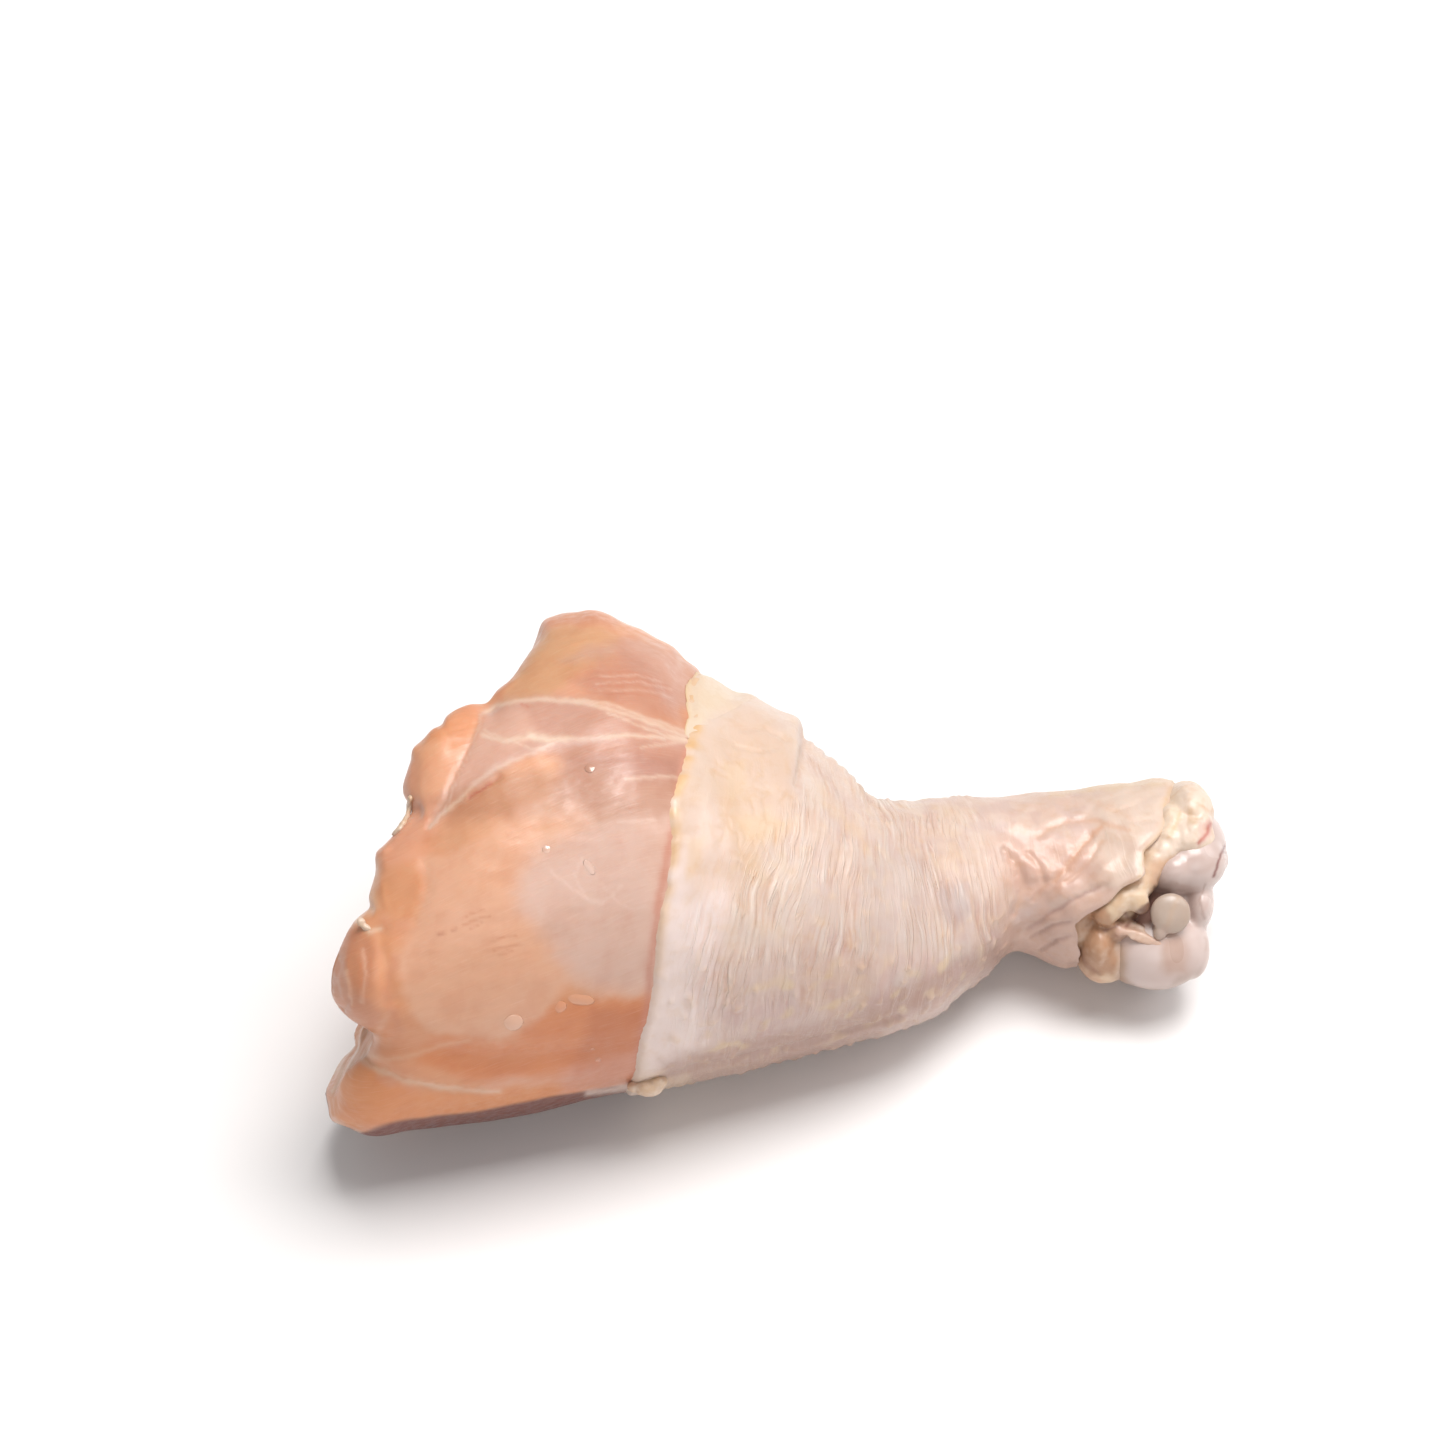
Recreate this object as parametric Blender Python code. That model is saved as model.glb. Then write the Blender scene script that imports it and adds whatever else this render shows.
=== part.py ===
"""A raw chicken drumstick lying on its side: bare flesh at the knee end, a loose sleeve of skin over
the rest, and the bone's cartilage, tendon and sinew showing at the ankle.

The leg lies along X, with its knee end at -X and its ankle at +X. -Y is the side turned to the
viewer and +Z is up. A place on the leg is given by x and by an angle around the bone, measured
from straight up (0) over the front (90) to straight down (180). Lengths are in units of 0.9 mm until
the meshes are made, and angles are degrees.
"""

import math

import bmesh
import bpy
import numpy as np
from mathutils import Matrix, Vector

UNIT = 0.0009  # metres in one unit of length
GAP = 0.33  # clear distance kept between neighbouring pieces
SECTION_POWER = 2.15  # 2 is an ellipse, more is squarer

# The leg's outer form: x, bone centre y and z, then its reach upward, forward, downward, backward.
SECTIONS = (
    (-4, 0, 31, 23, 26, 31, 27),
    (0, 0, 31, 25, 28.5, 31, 30),
    (10, 0, 31, 28, 31, 31.5, 34),
    (22, 0, 31, 32, 31, 32, 38),
    (35, 0, 31, 34, 30, 32, 39),
    (46, 0, 31, 34, 29.5, 31.5, 38),
    (60, 0, 29.5, 24.7, 27, 30, 28),
    (72, 0, 26.5, 20, 24.5, 26, 22.5),
    (84, 1, 22, 13.5, 22, 21, 12.5),
    (92, 3, 19.5, 11, 18.5, 18, 10),
    (98.5, 4, 17.5, 10.5, 15, 14.5, 10.5),
    (102, 4, 17, 10.5, 12, 12, 10.5),
    (112, 3, 16, 11, 15.5, 14, 12),
    (122, 1, 16, 12.8, 18.5, 15.9, 13),
    (136, 1, 15, 13, 17, 15, 13),
)

# The cut at the knee: angle and the x of its rim, slanting back over the top and far side.
KNEE_RIM = (
    (-180, 7), (-135, 23), (-90, 34), (-45, 36), (-22, 29), (-10, 19), (2, 14), (14, 12.7), (28, 9),
    (40, 6.5), (50, 3), (64, 0.4), (74, 1), (82, 5), (90, 4.6), (103, 0.8), (118, -1), (134, -2.4),
    (148, -1), (163, 3), (180, 7),
)
KNEE_ROUNDING = 7.0  # length over which the flesh rolls over into the cut
KNEE_INSET = 4.3  # how far the cut's rim lies inside the plain form
KNEE_CENTRE = (23.5, 1.0, 32.0)  # middle of the cut
# Muscle ends swell out of the cut between seams that run in to the bone.
KNEE_SWELL = 4.2
KNEE_SEAMS = (-118, -62, 16, 78, 152)
KNEE_SEAM_DEPTH = 2.6
KNEE_SEAM_WIDTH = 13  # degrees

# Muscle bellies and hollows: x, angle, height, reach along x, reach in angle.
MUSCLES = (
    (44, -38, 2.4, 12, 24),  # upper belly, the dome at the top
    (17, -6, 2.2, 8, 14),  # small belly behind the membrane
    (26, 52, 1.2, 18, 26),  # broad belly that faces the viewer
    (4, 60, 1.8, 5, 12),  # lobe over the rim
    (2, 116, 2.4, 7, 16),  # corner of the lower belly
    (24, 150, 1.0, 14, 20),  # lower belly
    (26, -100, 2.0, 16, 24),  # far belly
    (20, -150, 1.5, 14, 22),  # far lower belly
)
# Grooves between bellies: points (x, angle) along the line, depth, half width.
GROOVES = (
    (((13, 34), (18, 26), (26, 16), (36, 13), (52, 10)), 1.3, 3.2),
    (((30, -20), (24, -2), (16, 26)), 2.0, 3.0),
    (((0, 75), (8, 80), (22, 91), (38, 97)), 0.9, 3.0),
    (((34, -70), (44, -74), (56, -78)), 1.6, 4.0),
    (((24, -128), (36, -126), (48, -120)), 1.4, 4.0),
)

SKIN_THICKNESS = 1.2
UNDER_SKIN_GAP = 0.45  # wider than GAP, because the faces below bend differently in the creases
SKIN_LIP = 0.5  # how far the skin's edge stands above the flesh beside it
SKIN_EDGE = (50.8, 9.8, 68)  # mean x, swing in x, and the phase of the swing
ANKLE_EDGE = (121.5, 9.5, 55)
EDGE_WAVES = ((0.7, 5, 20), (0.4, 9, 140))  # height, waves around the leg, phase

ROLL_HEIGHT = 2.3  # the thick roll of skin over the top, and the crease that ends it
ROLL_ANGLE = -22
ROLL_SPREAD = 34
ROLL_X = 65.5
ROLL_REACH = 9.0
CREASE_X = (70.8, -0.066)  # x of the crease, and how it moves with the angle
CREASE_DROP = 1.1
CREASE_WIDTH = 1.8
LOWER_FOLD = (((44, 94), (55, 92), (68, 88), (84, 86)), 1.1, 1.8)  # crumpled fold low on the skin
ANKLE_FOLDS = (
    (((105, -20), (112, 14), (119, 30)), 0.7, 1.4),
    (((102, 10), (109, 36), (114, 52)), 0.8, 1.5),
    (((103, 46), (108, 70), (111, 92)), 0.7, 1.3),
)

AROUND = 52  # faces around the leg
FLESH_END_X = 103.0  # the flesh under the skin runs to here
UNDER_SKIN_RINGS = 15
KNEE_FLESH_RINGS = 16
KNEE_CUT_RINGS = 5

# The two condyles of the ankle and the saddle between them, turned about one slanted axis.
LOWER_CONDYLE = (123.7, -10.4, 7.9)
UPPER_CONDYLE = (130.6, 5.0, 15.0)
CONDYLE_RADIUS = 8.6
SADDLE_RADIUS = 5.4
CONDYLE_END = 4.4  # from a condyle's crest to the end of the turned form
CONDYLE_SIDES = 26
CONDYLE_RINGS = 18

KNOB_CENTRE = (126.4, -9.3, 16.8)
KNOB_RADIUS = 3.1
KNOB_DEPTH = 2.3
SINEW_START_X = FLESH_END_X + GAP
SINEW_REACH = (128.5, 7.0, 20)  # mean x of the sinew's end, its swing and phase
SINEW_WAVES = ((0.8, 7, 60), (0.5, 12, 10))
SINEW_ROUNDING = 2.6
SINEW_BULGE = (118, 132, 2.0, 7, 28)  # x, angle, height, reach along x, reach in angle
SINEW_SIDES = AROUND // 2
SINEW_RINGS = 11

# Yellow fat under the skin's edge, over the top of the leg, and a nub of fat low on that edge.
SKIN_FAT_ANGLES = (-66, 10)
SKIN_FAT_WIDTH = 3.6
SKIN_FAT_HEIGHT = 1.5
SKIN_FAT_RINGS = 14
NUB_ANGLE = 117
NUB_SIZE = (2.0, 1.0, 1.3)

# Fat along the cut's rim, a scrap of it in front, and the bone end in the cut.
RIM_FAT_ANGLES = (-8, 38)
RIM_FAT_RADIUS = 2.1
RIM_FAT_DEPTH = 8.0
RIM_FAT_RINGS = 12
RIM_FAT_SIDES = 10
SCRAP_PLACE = (6.4, 47)  # x and angle
SCRAP_SIZE = (1.9, 1.0, 1.0)
SCRAP_SUNK = 0.9
PLATEAU_CENTRES = ((17.0, -5.5, 30.5), (20.5, 5.5, 32.5))
PLATEAU_SIZE = (6.5, 9.0, 9.0)

FLESH_COLOUR = (0.83, 0.50, 0.35)
SKIN_COLOUR = (0.86, 0.74, 0.64)
FAT_COLOUR = (0.93, 0.78, 0.50)
CARTILAGE_COLOUR = (0.78, 0.72, 0.70)
SINEW_COLOUR = (0.66, 0.50, 0.36)


def clear_scene():
    for item in list(bpy.data.objects):
        bpy.data.objects.remove(item, do_unlink=True)


def make_material(name, colour, roughness):
    material = bpy.data.materials.new(name)
    material.use_nodes = True
    shader = material.node_tree.nodes["Principled BSDF"]
    shader.inputs["Base Color"].default_value = (*colour, 1.0)
    shader.inputs["Roughness"].default_value = roughness
    shader.inputs["Metallic"].default_value = 0.0
    return material


def smooth_curve(stations, values, at):
    """A smooth curve through the stations, by cubic pieces that share their slopes."""
    at = np.asarray(at, float)
    step = np.diff(stations)
    rise = np.diff(values) / step
    slope = np.empty(len(stations))
    slope[0] = rise[0]
    slope[-1] = rise[-1]
    slope[1:-1] = (rise[:-1] * step[1:] + rise[1:] * step[:-1]) / (step[:-1] + step[1:])
    index = np.clip(np.searchsorted(stations, at) - 1, 0, len(stations) - 2)
    t = np.clip((at - stations[index]) / step[index], 0.0, 1.0)
    start = values[index] * (2 * t**3 - 3 * t**2 + 1) + slope[index] * step[index] * (t**3 - 2 * t**2 + t)
    end = values[index + 1] * (3 * t**2 - 2 * t**3) + slope[index + 1] * step[index] * (t**3 - t**2)
    return start + end


def section_at(x):
    table = np.array(SECTIONS, float)
    return [smooth_curve(table[:, 0], table[:, column], x) for column in range(1, 7)]


def angle_between(a, b):
    """The turn from b to a, from -180 to 180."""
    return (np.asarray(a, float) - b + 180.0) % 360.0 - 180.0


def smooth_step(value):
    t = np.clip(value, 0.0, 1.0)
    return t * t * (3 - 2 * t)


def bare_radius(x, angle):
    """The plain form's radius: four quarter ovals, one between each pair of reaches."""
    _, _, up, front, down, back = section_at(x)
    side = np.sin(np.radians(angle))
    rise = np.cos(np.radians(angle))
    across = np.abs(side / np.where(side > 0, front, back)) ** SECTION_POWER
    along = np.abs(rise / np.where(rise > 0, up, down)) ** SECTION_POWER
    return (across + along) ** (-1 / SECTION_POWER)


def line_distance(x, angle, line):
    """Distance over the surface to a line of (x, angle) points."""
    best = np.full(np.shape(x), 1e9)
    scale = np.radians(1.0) * bare_radius(x, angle)
    for (x0, a0), (x1, a1) in zip(line[:-1], line[1:]):
        dx = x - x0
        da = angle_between(angle, a0) * scale
        ux = x1 - x0
        ua = (a1 - a0) * scale
        t = np.clip((dx * ux + da * ua) / (ux**2 + ua**2), 0.0, 1.0)
        best = np.minimum(best, np.hypot(dx - t * ux, da - t * ua))
    return best


def grooves(x, angle, lines):
    total = 0.0
    for line, depth, half_width in lines:
        total = total - depth * np.exp(-((line_distance(x, angle, line) / half_width) ** 2))
    return total


def bump(x, angle, at_x, at_angle, height, reach_x, reach_angle):
    along = (x - at_x) / reach_x
    around = angle_between(angle, at_angle) / reach_angle
    return height * np.exp(-(along**2) - around**2)


def muscle_relief(x, angle):
    return grooves(x, angle, GROOVES) + sum(bump(x, angle, *muscle) for muscle in MUSCLES)


def skin_relief(x, angle):
    """The roll over the top with its crease, the lower fold and the folds at the ankle."""
    fade = np.exp(-((angle_between(angle, ROLL_ANGLE) / ROLL_SPREAD) ** 2))
    crease = CREASE_X[0] + CREASE_X[1] * angle_between(angle, 0)
    before = 1 - smooth_step((x - crease) / CREASE_WIDTH + 0.5)
    roll = ROLL_HEIGHT * np.exp(-(((x - ROLL_X) / ROLL_REACH) ** 2)) * before
    drop = -CREASE_DROP * (1 - before) * np.exp(-(((x - crease) / ROLL_REACH) ** 2))
    return fade * (roll + drop) + grooves(x, angle, (LOWER_FOLD, *ANKLE_FOLDS))


def point(x, angle, lift, floor=0.0):
    """The point at a height over the plain form. It rests flat where it would pass the floor."""
    x = np.asarray(x, float) + 0 * angle
    centre_y, centre_z = section_at(x)[:2]
    radius = bare_radius(x, angle) + lift
    y = centre_y - radius * np.sin(np.radians(angle))
    z = np.maximum(centre_z + radius * np.cos(np.radians(angle)), floor)
    return np.stack([x, y, z], axis=-1)


def edge_line(edge, angle):
    mean, swing, phase = edge
    line = mean + swing * np.cos(np.radians(angle + phase))
    for height, waves, start in EDGE_WAVES:
        line = line + height * np.sin(np.radians(waves * angle + start))
    return line


def knee_rim(angle):
    table = np.array(KNEE_RIM, float)
    return smooth_curve(table[:, 0], table[:, 1], angle_between(angle, 0))


def angles_around(count):
    return np.arange(count) * 360.0 / count - 180.0


def loft(name, rings, material, closed_loop=False):
    """A closed mesh over rings of points. Its ends close on a middle point unless the last ring
    meets the first."""
    shape = bmesh.new()
    rows = [[shape.verts.new(Vector(p) * UNIT) for p in ring] for ring in rings]
    count = len(rows[0])
    pairs = list(zip(rows[:-1], rows[1:]))
    if closed_loop:
        pairs.append((rows[-1], rows[0]))
    for low, high in pairs:
        for i in range(count):
            j = (i + 1) % count
            shape.faces.new((low[i], low[j], high[j], high[i]))
    if not closed_loop:
        for row in (rows[0], rows[-1]):
            middle = shape.verts.new(sum((v.co for v in row), Vector()) / count)
            for i in range(count):
                shape.faces.new((row[i], row[(i + 1) % count], middle))
    bmesh.ops.recalc_face_normals(shape, faces=shape.faces)
    mesh = bpy.data.meshes.new(name)
    shape.to_mesh(mesh)
    shape.free()
    mesh.shade_smooth()
    mesh.materials.append(material)
    item = bpy.data.objects.new(name, mesh)
    bpy.context.scene.collection.objects.link(item)
    return item


def combine(item, other, operation):
    """Cuts the other form from the item, or joins it on, and then removes the other."""
    modifier = item.modifiers.new("shape", "BOOLEAN")
    modifier.operation = operation
    modifier.solver = "EXACT"
    modifier.object = other
    graph = bpy.context.evaluated_depsgraph_get()
    mesh = bpy.data.meshes.new_from_object(item.evaluated_get(graph))
    item.modifiers.remove(modifier)
    item.data = mesh
    bpy.data.objects.remove(other, do_unlink=True)


def cut_away(item, cutter):
    combine(item, cutter, "DIFFERENCE")


def keep_largest(item):
    """Drops loose scraps that a cut has left."""
    shape = bmesh.new()
    shape.from_mesh(item.data)
    left = set(shape.verts)
    groups = []
    while left:
        group = {left.pop()}
        edge = list(group)
        while edge:
            vert = edge.pop()
            near = {e.other_vert(vert) for e in vert.link_edges} & left
            left -= near
            group |= near
            edge.extend(near)
        groups.append(group)
    groups.sort(key=len)
    bmesh.ops.delete(shape, geom=[v for g in groups[:-1] for v in g], context="VERTS")
    shape.to_mesh(item.data)
    shape.free()


def flesh_radius_lift(x, angle, edge_x):
    """Bare flesh bulges freely and settles just under the skin's lip beside the edge."""
    near = np.exp(-(((edge_x - x) / 9.0) ** 2))
    return muscle_relief(x, angle) * (1 - 0.6 * near) - SKIN_LIP * near


def cut_swell(share, angle):
    """How far the cut bulges out at a share of the way from its middle to its rim."""
    seams = 0.0
    for seam in KNEE_SEAMS:
        seams = seams + np.exp(-((angle_between(angle, seam) / KNEE_SEAM_WIDTH) ** 2))
    return (KNEE_SWELL - KNEE_SEAM_DEPTH * seams) * math.sin(math.pi * share**0.8)


def make_flesh(material):
    angle = angles_around(AROUND)
    rim = knee_rim(angle)
    edge = edge_line(SKIN_EDGE, angle)
    centre = np.array(KNEE_CENTRE)
    rings = []
    first = point(rim, angle, flesh_radius_lift(rim, angle, edge) - KNEE_INSET)
    for i in range(1, KNEE_CUT_RINGS + 1):
        share = i / (KNEE_CUT_RINGS + 1)
        ring = centre + (first - centre) * share
        ring[:, 0] -= cut_swell(share, angle)
        rings.append(ring)
    for i in range(KNEE_FLESH_RINGS + 1):
        share = (i / KNEE_FLESH_RINGS) ** 1.35
        x = rim + (edge - 0.6 - rim) * share
        depth = np.clip(1 - (x - rim) / KNEE_ROUNDING, 0, 1)
        rounding = KNEE_INSET * (1 - np.sqrt(1 - depth**2.2))
        rings.append(point(x, angle, flesh_radius_lift(x, angle, edge) - rounding))
    depth_under_skin = SKIN_THICKNESS + UNDER_SKIN_GAP - SKIN_LIP
    for i in range(UNDER_SKIN_RINGS + 1):
        share = i / UNDER_SKIN_RINGS
        start = edge if i else edge - 0.35
        x = start + (FLESH_END_X - start) * share
        lift = skin_relief(x, angle) - depth_under_skin
        rings.append(point(x, angle, lift, SKIN_THICKNESS + UNDER_SKIN_GAP))
    return loft("flesh", rings, material)


def skin_stations(angle):
    """The x of each ring of the skin: in step with the flesh below it, then on to the ankle."""
    edge = edge_line(SKIN_EDGE, angle)
    ankle = edge_line(ANKLE_EDGE, angle)
    under = [edge + (FLESH_END_X - edge) * i / UNDER_SKIN_RINGS for i in range(UNDER_SKIN_RINGS + 1)]
    count = 6
    beyond = [FLESH_END_X + (ankle - FLESH_END_X) * i / count for i in range(1, count + 1)]
    return under + beyond


def make_skin(material):
    angle = angles_around(AROUND)
    stations = skin_stations(angle)
    inner_drop = SKIN_THICKNESS - SKIN_LIP
    outer = []
    inner = []
    for x in stations:
        relief = skin_relief(x, angle)
        outer.append(point(x, angle, relief + SKIN_LIP))
        inner.append(point(x, angle, relief - inner_drop, SKIN_THICKNESS))
    return loft("skin", outer + inner[::-1], material, closed_loop=True)


def turned_form(name, start, end, profile, sides, material):
    """A form turned about the line from start to end. The profile gives (distance, radius) pairs."""
    start = Vector(start)
    axis = (Vector(end) - start).normalized()
    frame = axis.to_track_quat("Z", "Y").to_matrix()
    rings = []
    for distance, radius in profile:
        ring = []
        for i in range(sides):
            turn = 2 * math.pi * i / sides
            ring.append(start + frame @ Vector((radius * math.cos(turn), radius * math.sin(turn), distance)))
        rings.append(ring)
    return loft(name, rings, material)


def condyle_profile(extra=0.0):
    length = (Vector(UPPER_CONDYLE) - Vector(LOWER_CONDYLE)).length
    half = length / 2 + CONDYLE_END + extra
    profile = []
    for i in range(CONDYLE_RINGS + 1):
        turn = math.pi * (i + 0.35) / (CONDYLE_RINGS + 0.7)
        t = -half * math.cos(turn)
        share = abs(t) / half
        waist = SADDLE_RADIUS + (CONDYLE_RADIUS - SADDLE_RADIUS) * smooth_step(abs(t) / (length / 2))
        rounding = (1 - share**3.4) ** 0.5
        profile.append((t + length / 2, (waist + extra) * rounding))
    return profile


def make_condyles(name, material, extra=0.0):
    return turned_form(name, LOWER_CONDYLE, UPPER_CONDYLE, condyle_profile(extra), CONDYLE_SIDES, material)


def make_ball(name, centre, size, material, turn=(0, 0, 0), detail=2):
    """A squashed ball. size is its half width along its own x, y and z, and turn is in degrees."""
    shape = bmesh.new()
    bmesh.ops.create_icosphere(shape, subdivisions=detail, radius=1.0)
    mesh = bpy.data.meshes.new(name)
    shape.to_mesh(mesh)
    shape.free()
    spin = Matrix.Rotation(math.radians(turn[2]), 4, "Z") @ Matrix.Rotation(math.radians(turn[1]), 4, "Y")
    spin = spin @ Matrix.Rotation(math.radians(turn[0]), 4, "X")
    place = Matrix.Translation(Vector(centre) * UNIT) @ spin
    mesh.transform(place @ Matrix.Diagonal((*(Vector(size) * UNIT), 1.0)))
    mesh.shade_smooth()
    mesh.materials.append(material)
    item = bpy.data.objects.new(name, mesh)
    bpy.context.scene.collection.objects.link(item)
    return item


def make_knob(material):
    knob = make_ball(
        "tendon_knob", KNOB_CENTRE, (KNOB_RADIUS, KNOB_RADIUS, KNOB_DEPTH), material, turn=(45, 0, -10), detail=3
    )
    cut_away(knob, make_condyles("clearance", material, GAP))
    return knob


def make_sinew(material):
    """Tissue that fills the sleeve's end and laps over the bone end in uneven lumps."""
    angle = angles_around(SINEW_SIDES)
    mean, swing, phase = SINEW_REACH
    end = mean + swing * np.cos(np.radians(angle + phase))
    for height, waves, start in SINEW_WAVES:
        end = end + height * np.sin(np.radians(waves * angle + start))
    sleeve = edge_line(ANKLE_EDGE, angle)
    rings = []
    for i in range(SINEW_RINGS + 1):
        share = i / SINEW_RINGS
        x = SINEW_START_X + (end - SINEW_START_X) * share
        beyond = smooth_step((x - sleeve + 2.0) / 6.0)
        rounding = SINEW_ROUNDING * smooth_step((share - 0.75) / 0.25) ** 2
        lumps = 0.5 * np.sin(np.radians(5 * angle + 40 * i)) * beyond + bump(x, angle, *SINEW_BULGE) * beyond
        lift = lumps - rounding - (SKIN_THICKNESS - SKIN_LIP + GAP + 0.6) * (1 - 0.6 * beyond)
        rings.append(point(x, angle, lift, SKIN_THICKNESS + GAP + 0.1))
    sinew = loft("ankle_sinew", rings, material)
    cut_away(sinew, make_condyles("clearance", material, GAP))
    clearance = make_ball(
        "clearance",
        KNOB_CENTRE,
        (KNOB_RADIUS + GAP, KNOB_RADIUS + GAP, KNOB_DEPTH + GAP),
        material,
        turn=(45, 0, -10),
        detail=3,
    )
    cut_away(sinew, clearance)
    keep_largest(sinew)
    return sinew


def make_skin_fat(material):
    """A wedge of fat that fills the corner between the flesh and the skin's edge."""
    first, last = SKIN_FAT_ANGLES
    rings = []
    for i in range(SKIN_FAT_RINGS + 1):
        share = i / SKIN_FAT_RINGS
        angle = first + (last - first) * share
        edge = edge_line(SKIN_EDGE, angle)
        taper = 0.2 + 0.8 * math.sin(math.pi * share) ** 0.7
        width = SKIN_FAT_WIDTH * taper * (1 + 0.15 * math.sin(2.4 * i))
        height = SKIN_FAT_HEIGHT * taper
        outline = ((0, 0), (0, height), (0.45 * width, 0.75 * height), (width, 0.2), (width, 0))
        ring = []
        for back, rise in outline:
            x = edge - 1.6 * GAP - back
            base = flesh_radius_lift(x, angle, edge) + 1.5 * GAP
            ring.append(point(x, angle, base + rise))
        rings.append(ring)
    return loft("skin_fat", rings, material)


def make_fat_nub(material):
    edge = edge_line(SKIN_EDGE, NUB_ANGLE)
    place = point(edge + 0.6, NUB_ANGLE, SKIN_LIP + NUB_SIZE[1] + 1.5 * GAP)
    return make_ball("fat_nub", place, NUB_SIZE, material, turn=(20, 0, 0))


def rim_fat_rings(extra=0.0):
    first, last = RIM_FAT_ANGLES
    rings = []
    for i in range(RIM_FAT_RINGS + 1):
        share = i / RIM_FAT_RINGS
        angle = first + (last - first) * share
        taper = 0.35 + 0.65 * math.sin(math.pi * share) ** 0.6
        radius = RIM_FAT_RADIUS * taper * (1 + 0.14 * math.sin(2.1 * i)) + extra
        rim = knee_rim(angle)
        ring = []
        for side in range(RIM_FAT_SIDES):
            turn = 2 * math.pi * side / RIM_FAT_SIDES
            x = rim + 0.6 + radius * math.cos(turn)
            ring.append(point(x, angle, radius * math.sin(turn) - RIM_FAT_DEPTH))
        rings.append(ring)
    return rings


def scrap(name, material, extra=0.0):
    x, angle = SCRAP_PLACE
    place = point(x, angle, flesh_radius_lift(x, angle, edge_line(SKIN_EDGE, angle)) - SCRAP_SUNK)
    size = [half + extra for half in SCRAP_SIZE]
    return make_ball(name, place, size, material, turn=(0, 20, -10))


def plateau(name, material, extra=0.0):
    """The shin bone's end at the knee: two low domes side by side."""
    size = [half + extra for half in PLATEAU_SIZE]
    near, far = PLATEAU_CENTRES
    item = make_ball(name, near, size, material, detail=3)
    combine(item, make_ball("dome", far, size, material, detail=3), "UNION")
    return item


def dress_knee(flesh, fat_material, cartilage_material):
    """Sets the fat and the bone end into the flesh, each in a bed with a clear gap."""
    loft("rim_fat", rim_fat_rings(), fat_material)
    scrap("fat_scrap", fat_material)
    plateau("knee_cartilage", cartilage_material)
    cut_away(flesh, loft("bed", rim_fat_rings(GAP), fat_material))
    cut_away(flesh, scrap("bed", fat_material, GAP))
    cut_away(flesh, plateau("bed", cartilage_material, GAP))
    keep_largest(flesh)


def stand_on_origin():
    """Hangs every piece on one empty, set so that the leg's box stands centred on the origin."""
    pieces = [item for item in bpy.context.scene.objects if item.type == "MESH"]
    corners = np.array([vertex.co for item in pieces for vertex in item.data.vertices])
    middle = (corners.min(axis=0) + corners.max(axis=0)) / 2
    root = bpy.data.objects.new("leg_origin", None)
    bpy.context.scene.collection.objects.link(root)
    root.location = (-middle[0], -middle[1], -corners[:, 2].min())
    for item in pieces:
        item.parent = root


def build():
    clear_scene()
    flesh_material = make_material("flesh", FLESH_COLOUR, 0.3)
    skin_material = make_material("skin", SKIN_COLOUR, 0.45)
    fat_material = make_material("fat", FAT_COLOUR, 0.4)
    cartilage_material = make_material("cartilage", CARTILAGE_COLOUR, 0.3)
    sinew_material = make_material("sinew", SINEW_COLOUR, 0.5)
    flesh = make_flesh(flesh_material)
    make_skin(skin_material)
    make_skin_fat(fat_material)
    make_fat_nub(fat_material)
    make_condyles("ankle_cartilage", cartilage_material)
    make_knob(cartilage_material)
    make_sinew(sinew_material)
    dress_knee(flesh, fat_material, cartilage_material)
    stand_on_origin()


build()
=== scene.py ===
"""The looks of a raw chicken drumstick that lies on a pale floor.

Lengths are in drawing units of 0.9 mm, with x along the leg from the knee end and an angle around
the bone that runs from straight up (0) over the front (90) to straight down (180). Marks that the
photograph shows are placed by their pixel in its 1445 x 1445 frame. Meshes are made in metres.
"""

import math

import bmesh
import bpy
import numpy as np
from mathutils import Matrix, Vector


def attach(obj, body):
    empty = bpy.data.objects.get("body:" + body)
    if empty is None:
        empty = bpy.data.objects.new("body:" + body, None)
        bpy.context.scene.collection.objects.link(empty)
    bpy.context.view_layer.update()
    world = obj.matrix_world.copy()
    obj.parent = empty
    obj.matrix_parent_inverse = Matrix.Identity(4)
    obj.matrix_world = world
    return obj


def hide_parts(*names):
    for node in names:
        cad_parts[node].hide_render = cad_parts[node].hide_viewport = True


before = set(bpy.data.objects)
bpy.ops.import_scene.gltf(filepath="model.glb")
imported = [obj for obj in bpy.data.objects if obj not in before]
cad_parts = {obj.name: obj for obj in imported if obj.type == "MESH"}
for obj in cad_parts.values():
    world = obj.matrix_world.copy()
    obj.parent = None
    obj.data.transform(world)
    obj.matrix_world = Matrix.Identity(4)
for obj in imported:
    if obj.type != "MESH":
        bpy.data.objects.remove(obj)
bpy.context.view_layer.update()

UNIT = 0.0009  # metres in one drawing unit
LEG_ORIGIN = np.array((-60.762, -3.867, 0.0)) * 0.001

# ---------------------------------------------------------------- camera

PHOTO_SIZE = 1445
LENS = 85.0
SENSOR = 36.0
FOCAL = LENS / SENSOR * PHOTO_SIZE  # in pixels
AZIMUTH = math.radians(-10.0)
ELEVATION = math.radians(45.0)
CAMERA_DISTANCE = 0.4545
CAMERA_TARGET = np.array((-0.004755, 0.011793, 0.038232))
PIXEL = 0.0001332  # metres that a pixel spans at the leg
MILLIMETRE = 0.001

# The camera's right, backward and up directions.
RIGHT = np.array((math.cos(AZIMUTH), math.sin(AZIMUTH), 0.0))
BACK = np.array(
    (math.sin(AZIMUTH) * math.cos(ELEVATION), -math.cos(AZIMUTH) * math.cos(ELEVATION), math.sin(ELEVATION))
)
UP = np.cross(BACK, RIGHT)
CAMERA_PLACE = CAMERA_TARGET + BACK * CAMERA_DISTANCE


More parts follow.
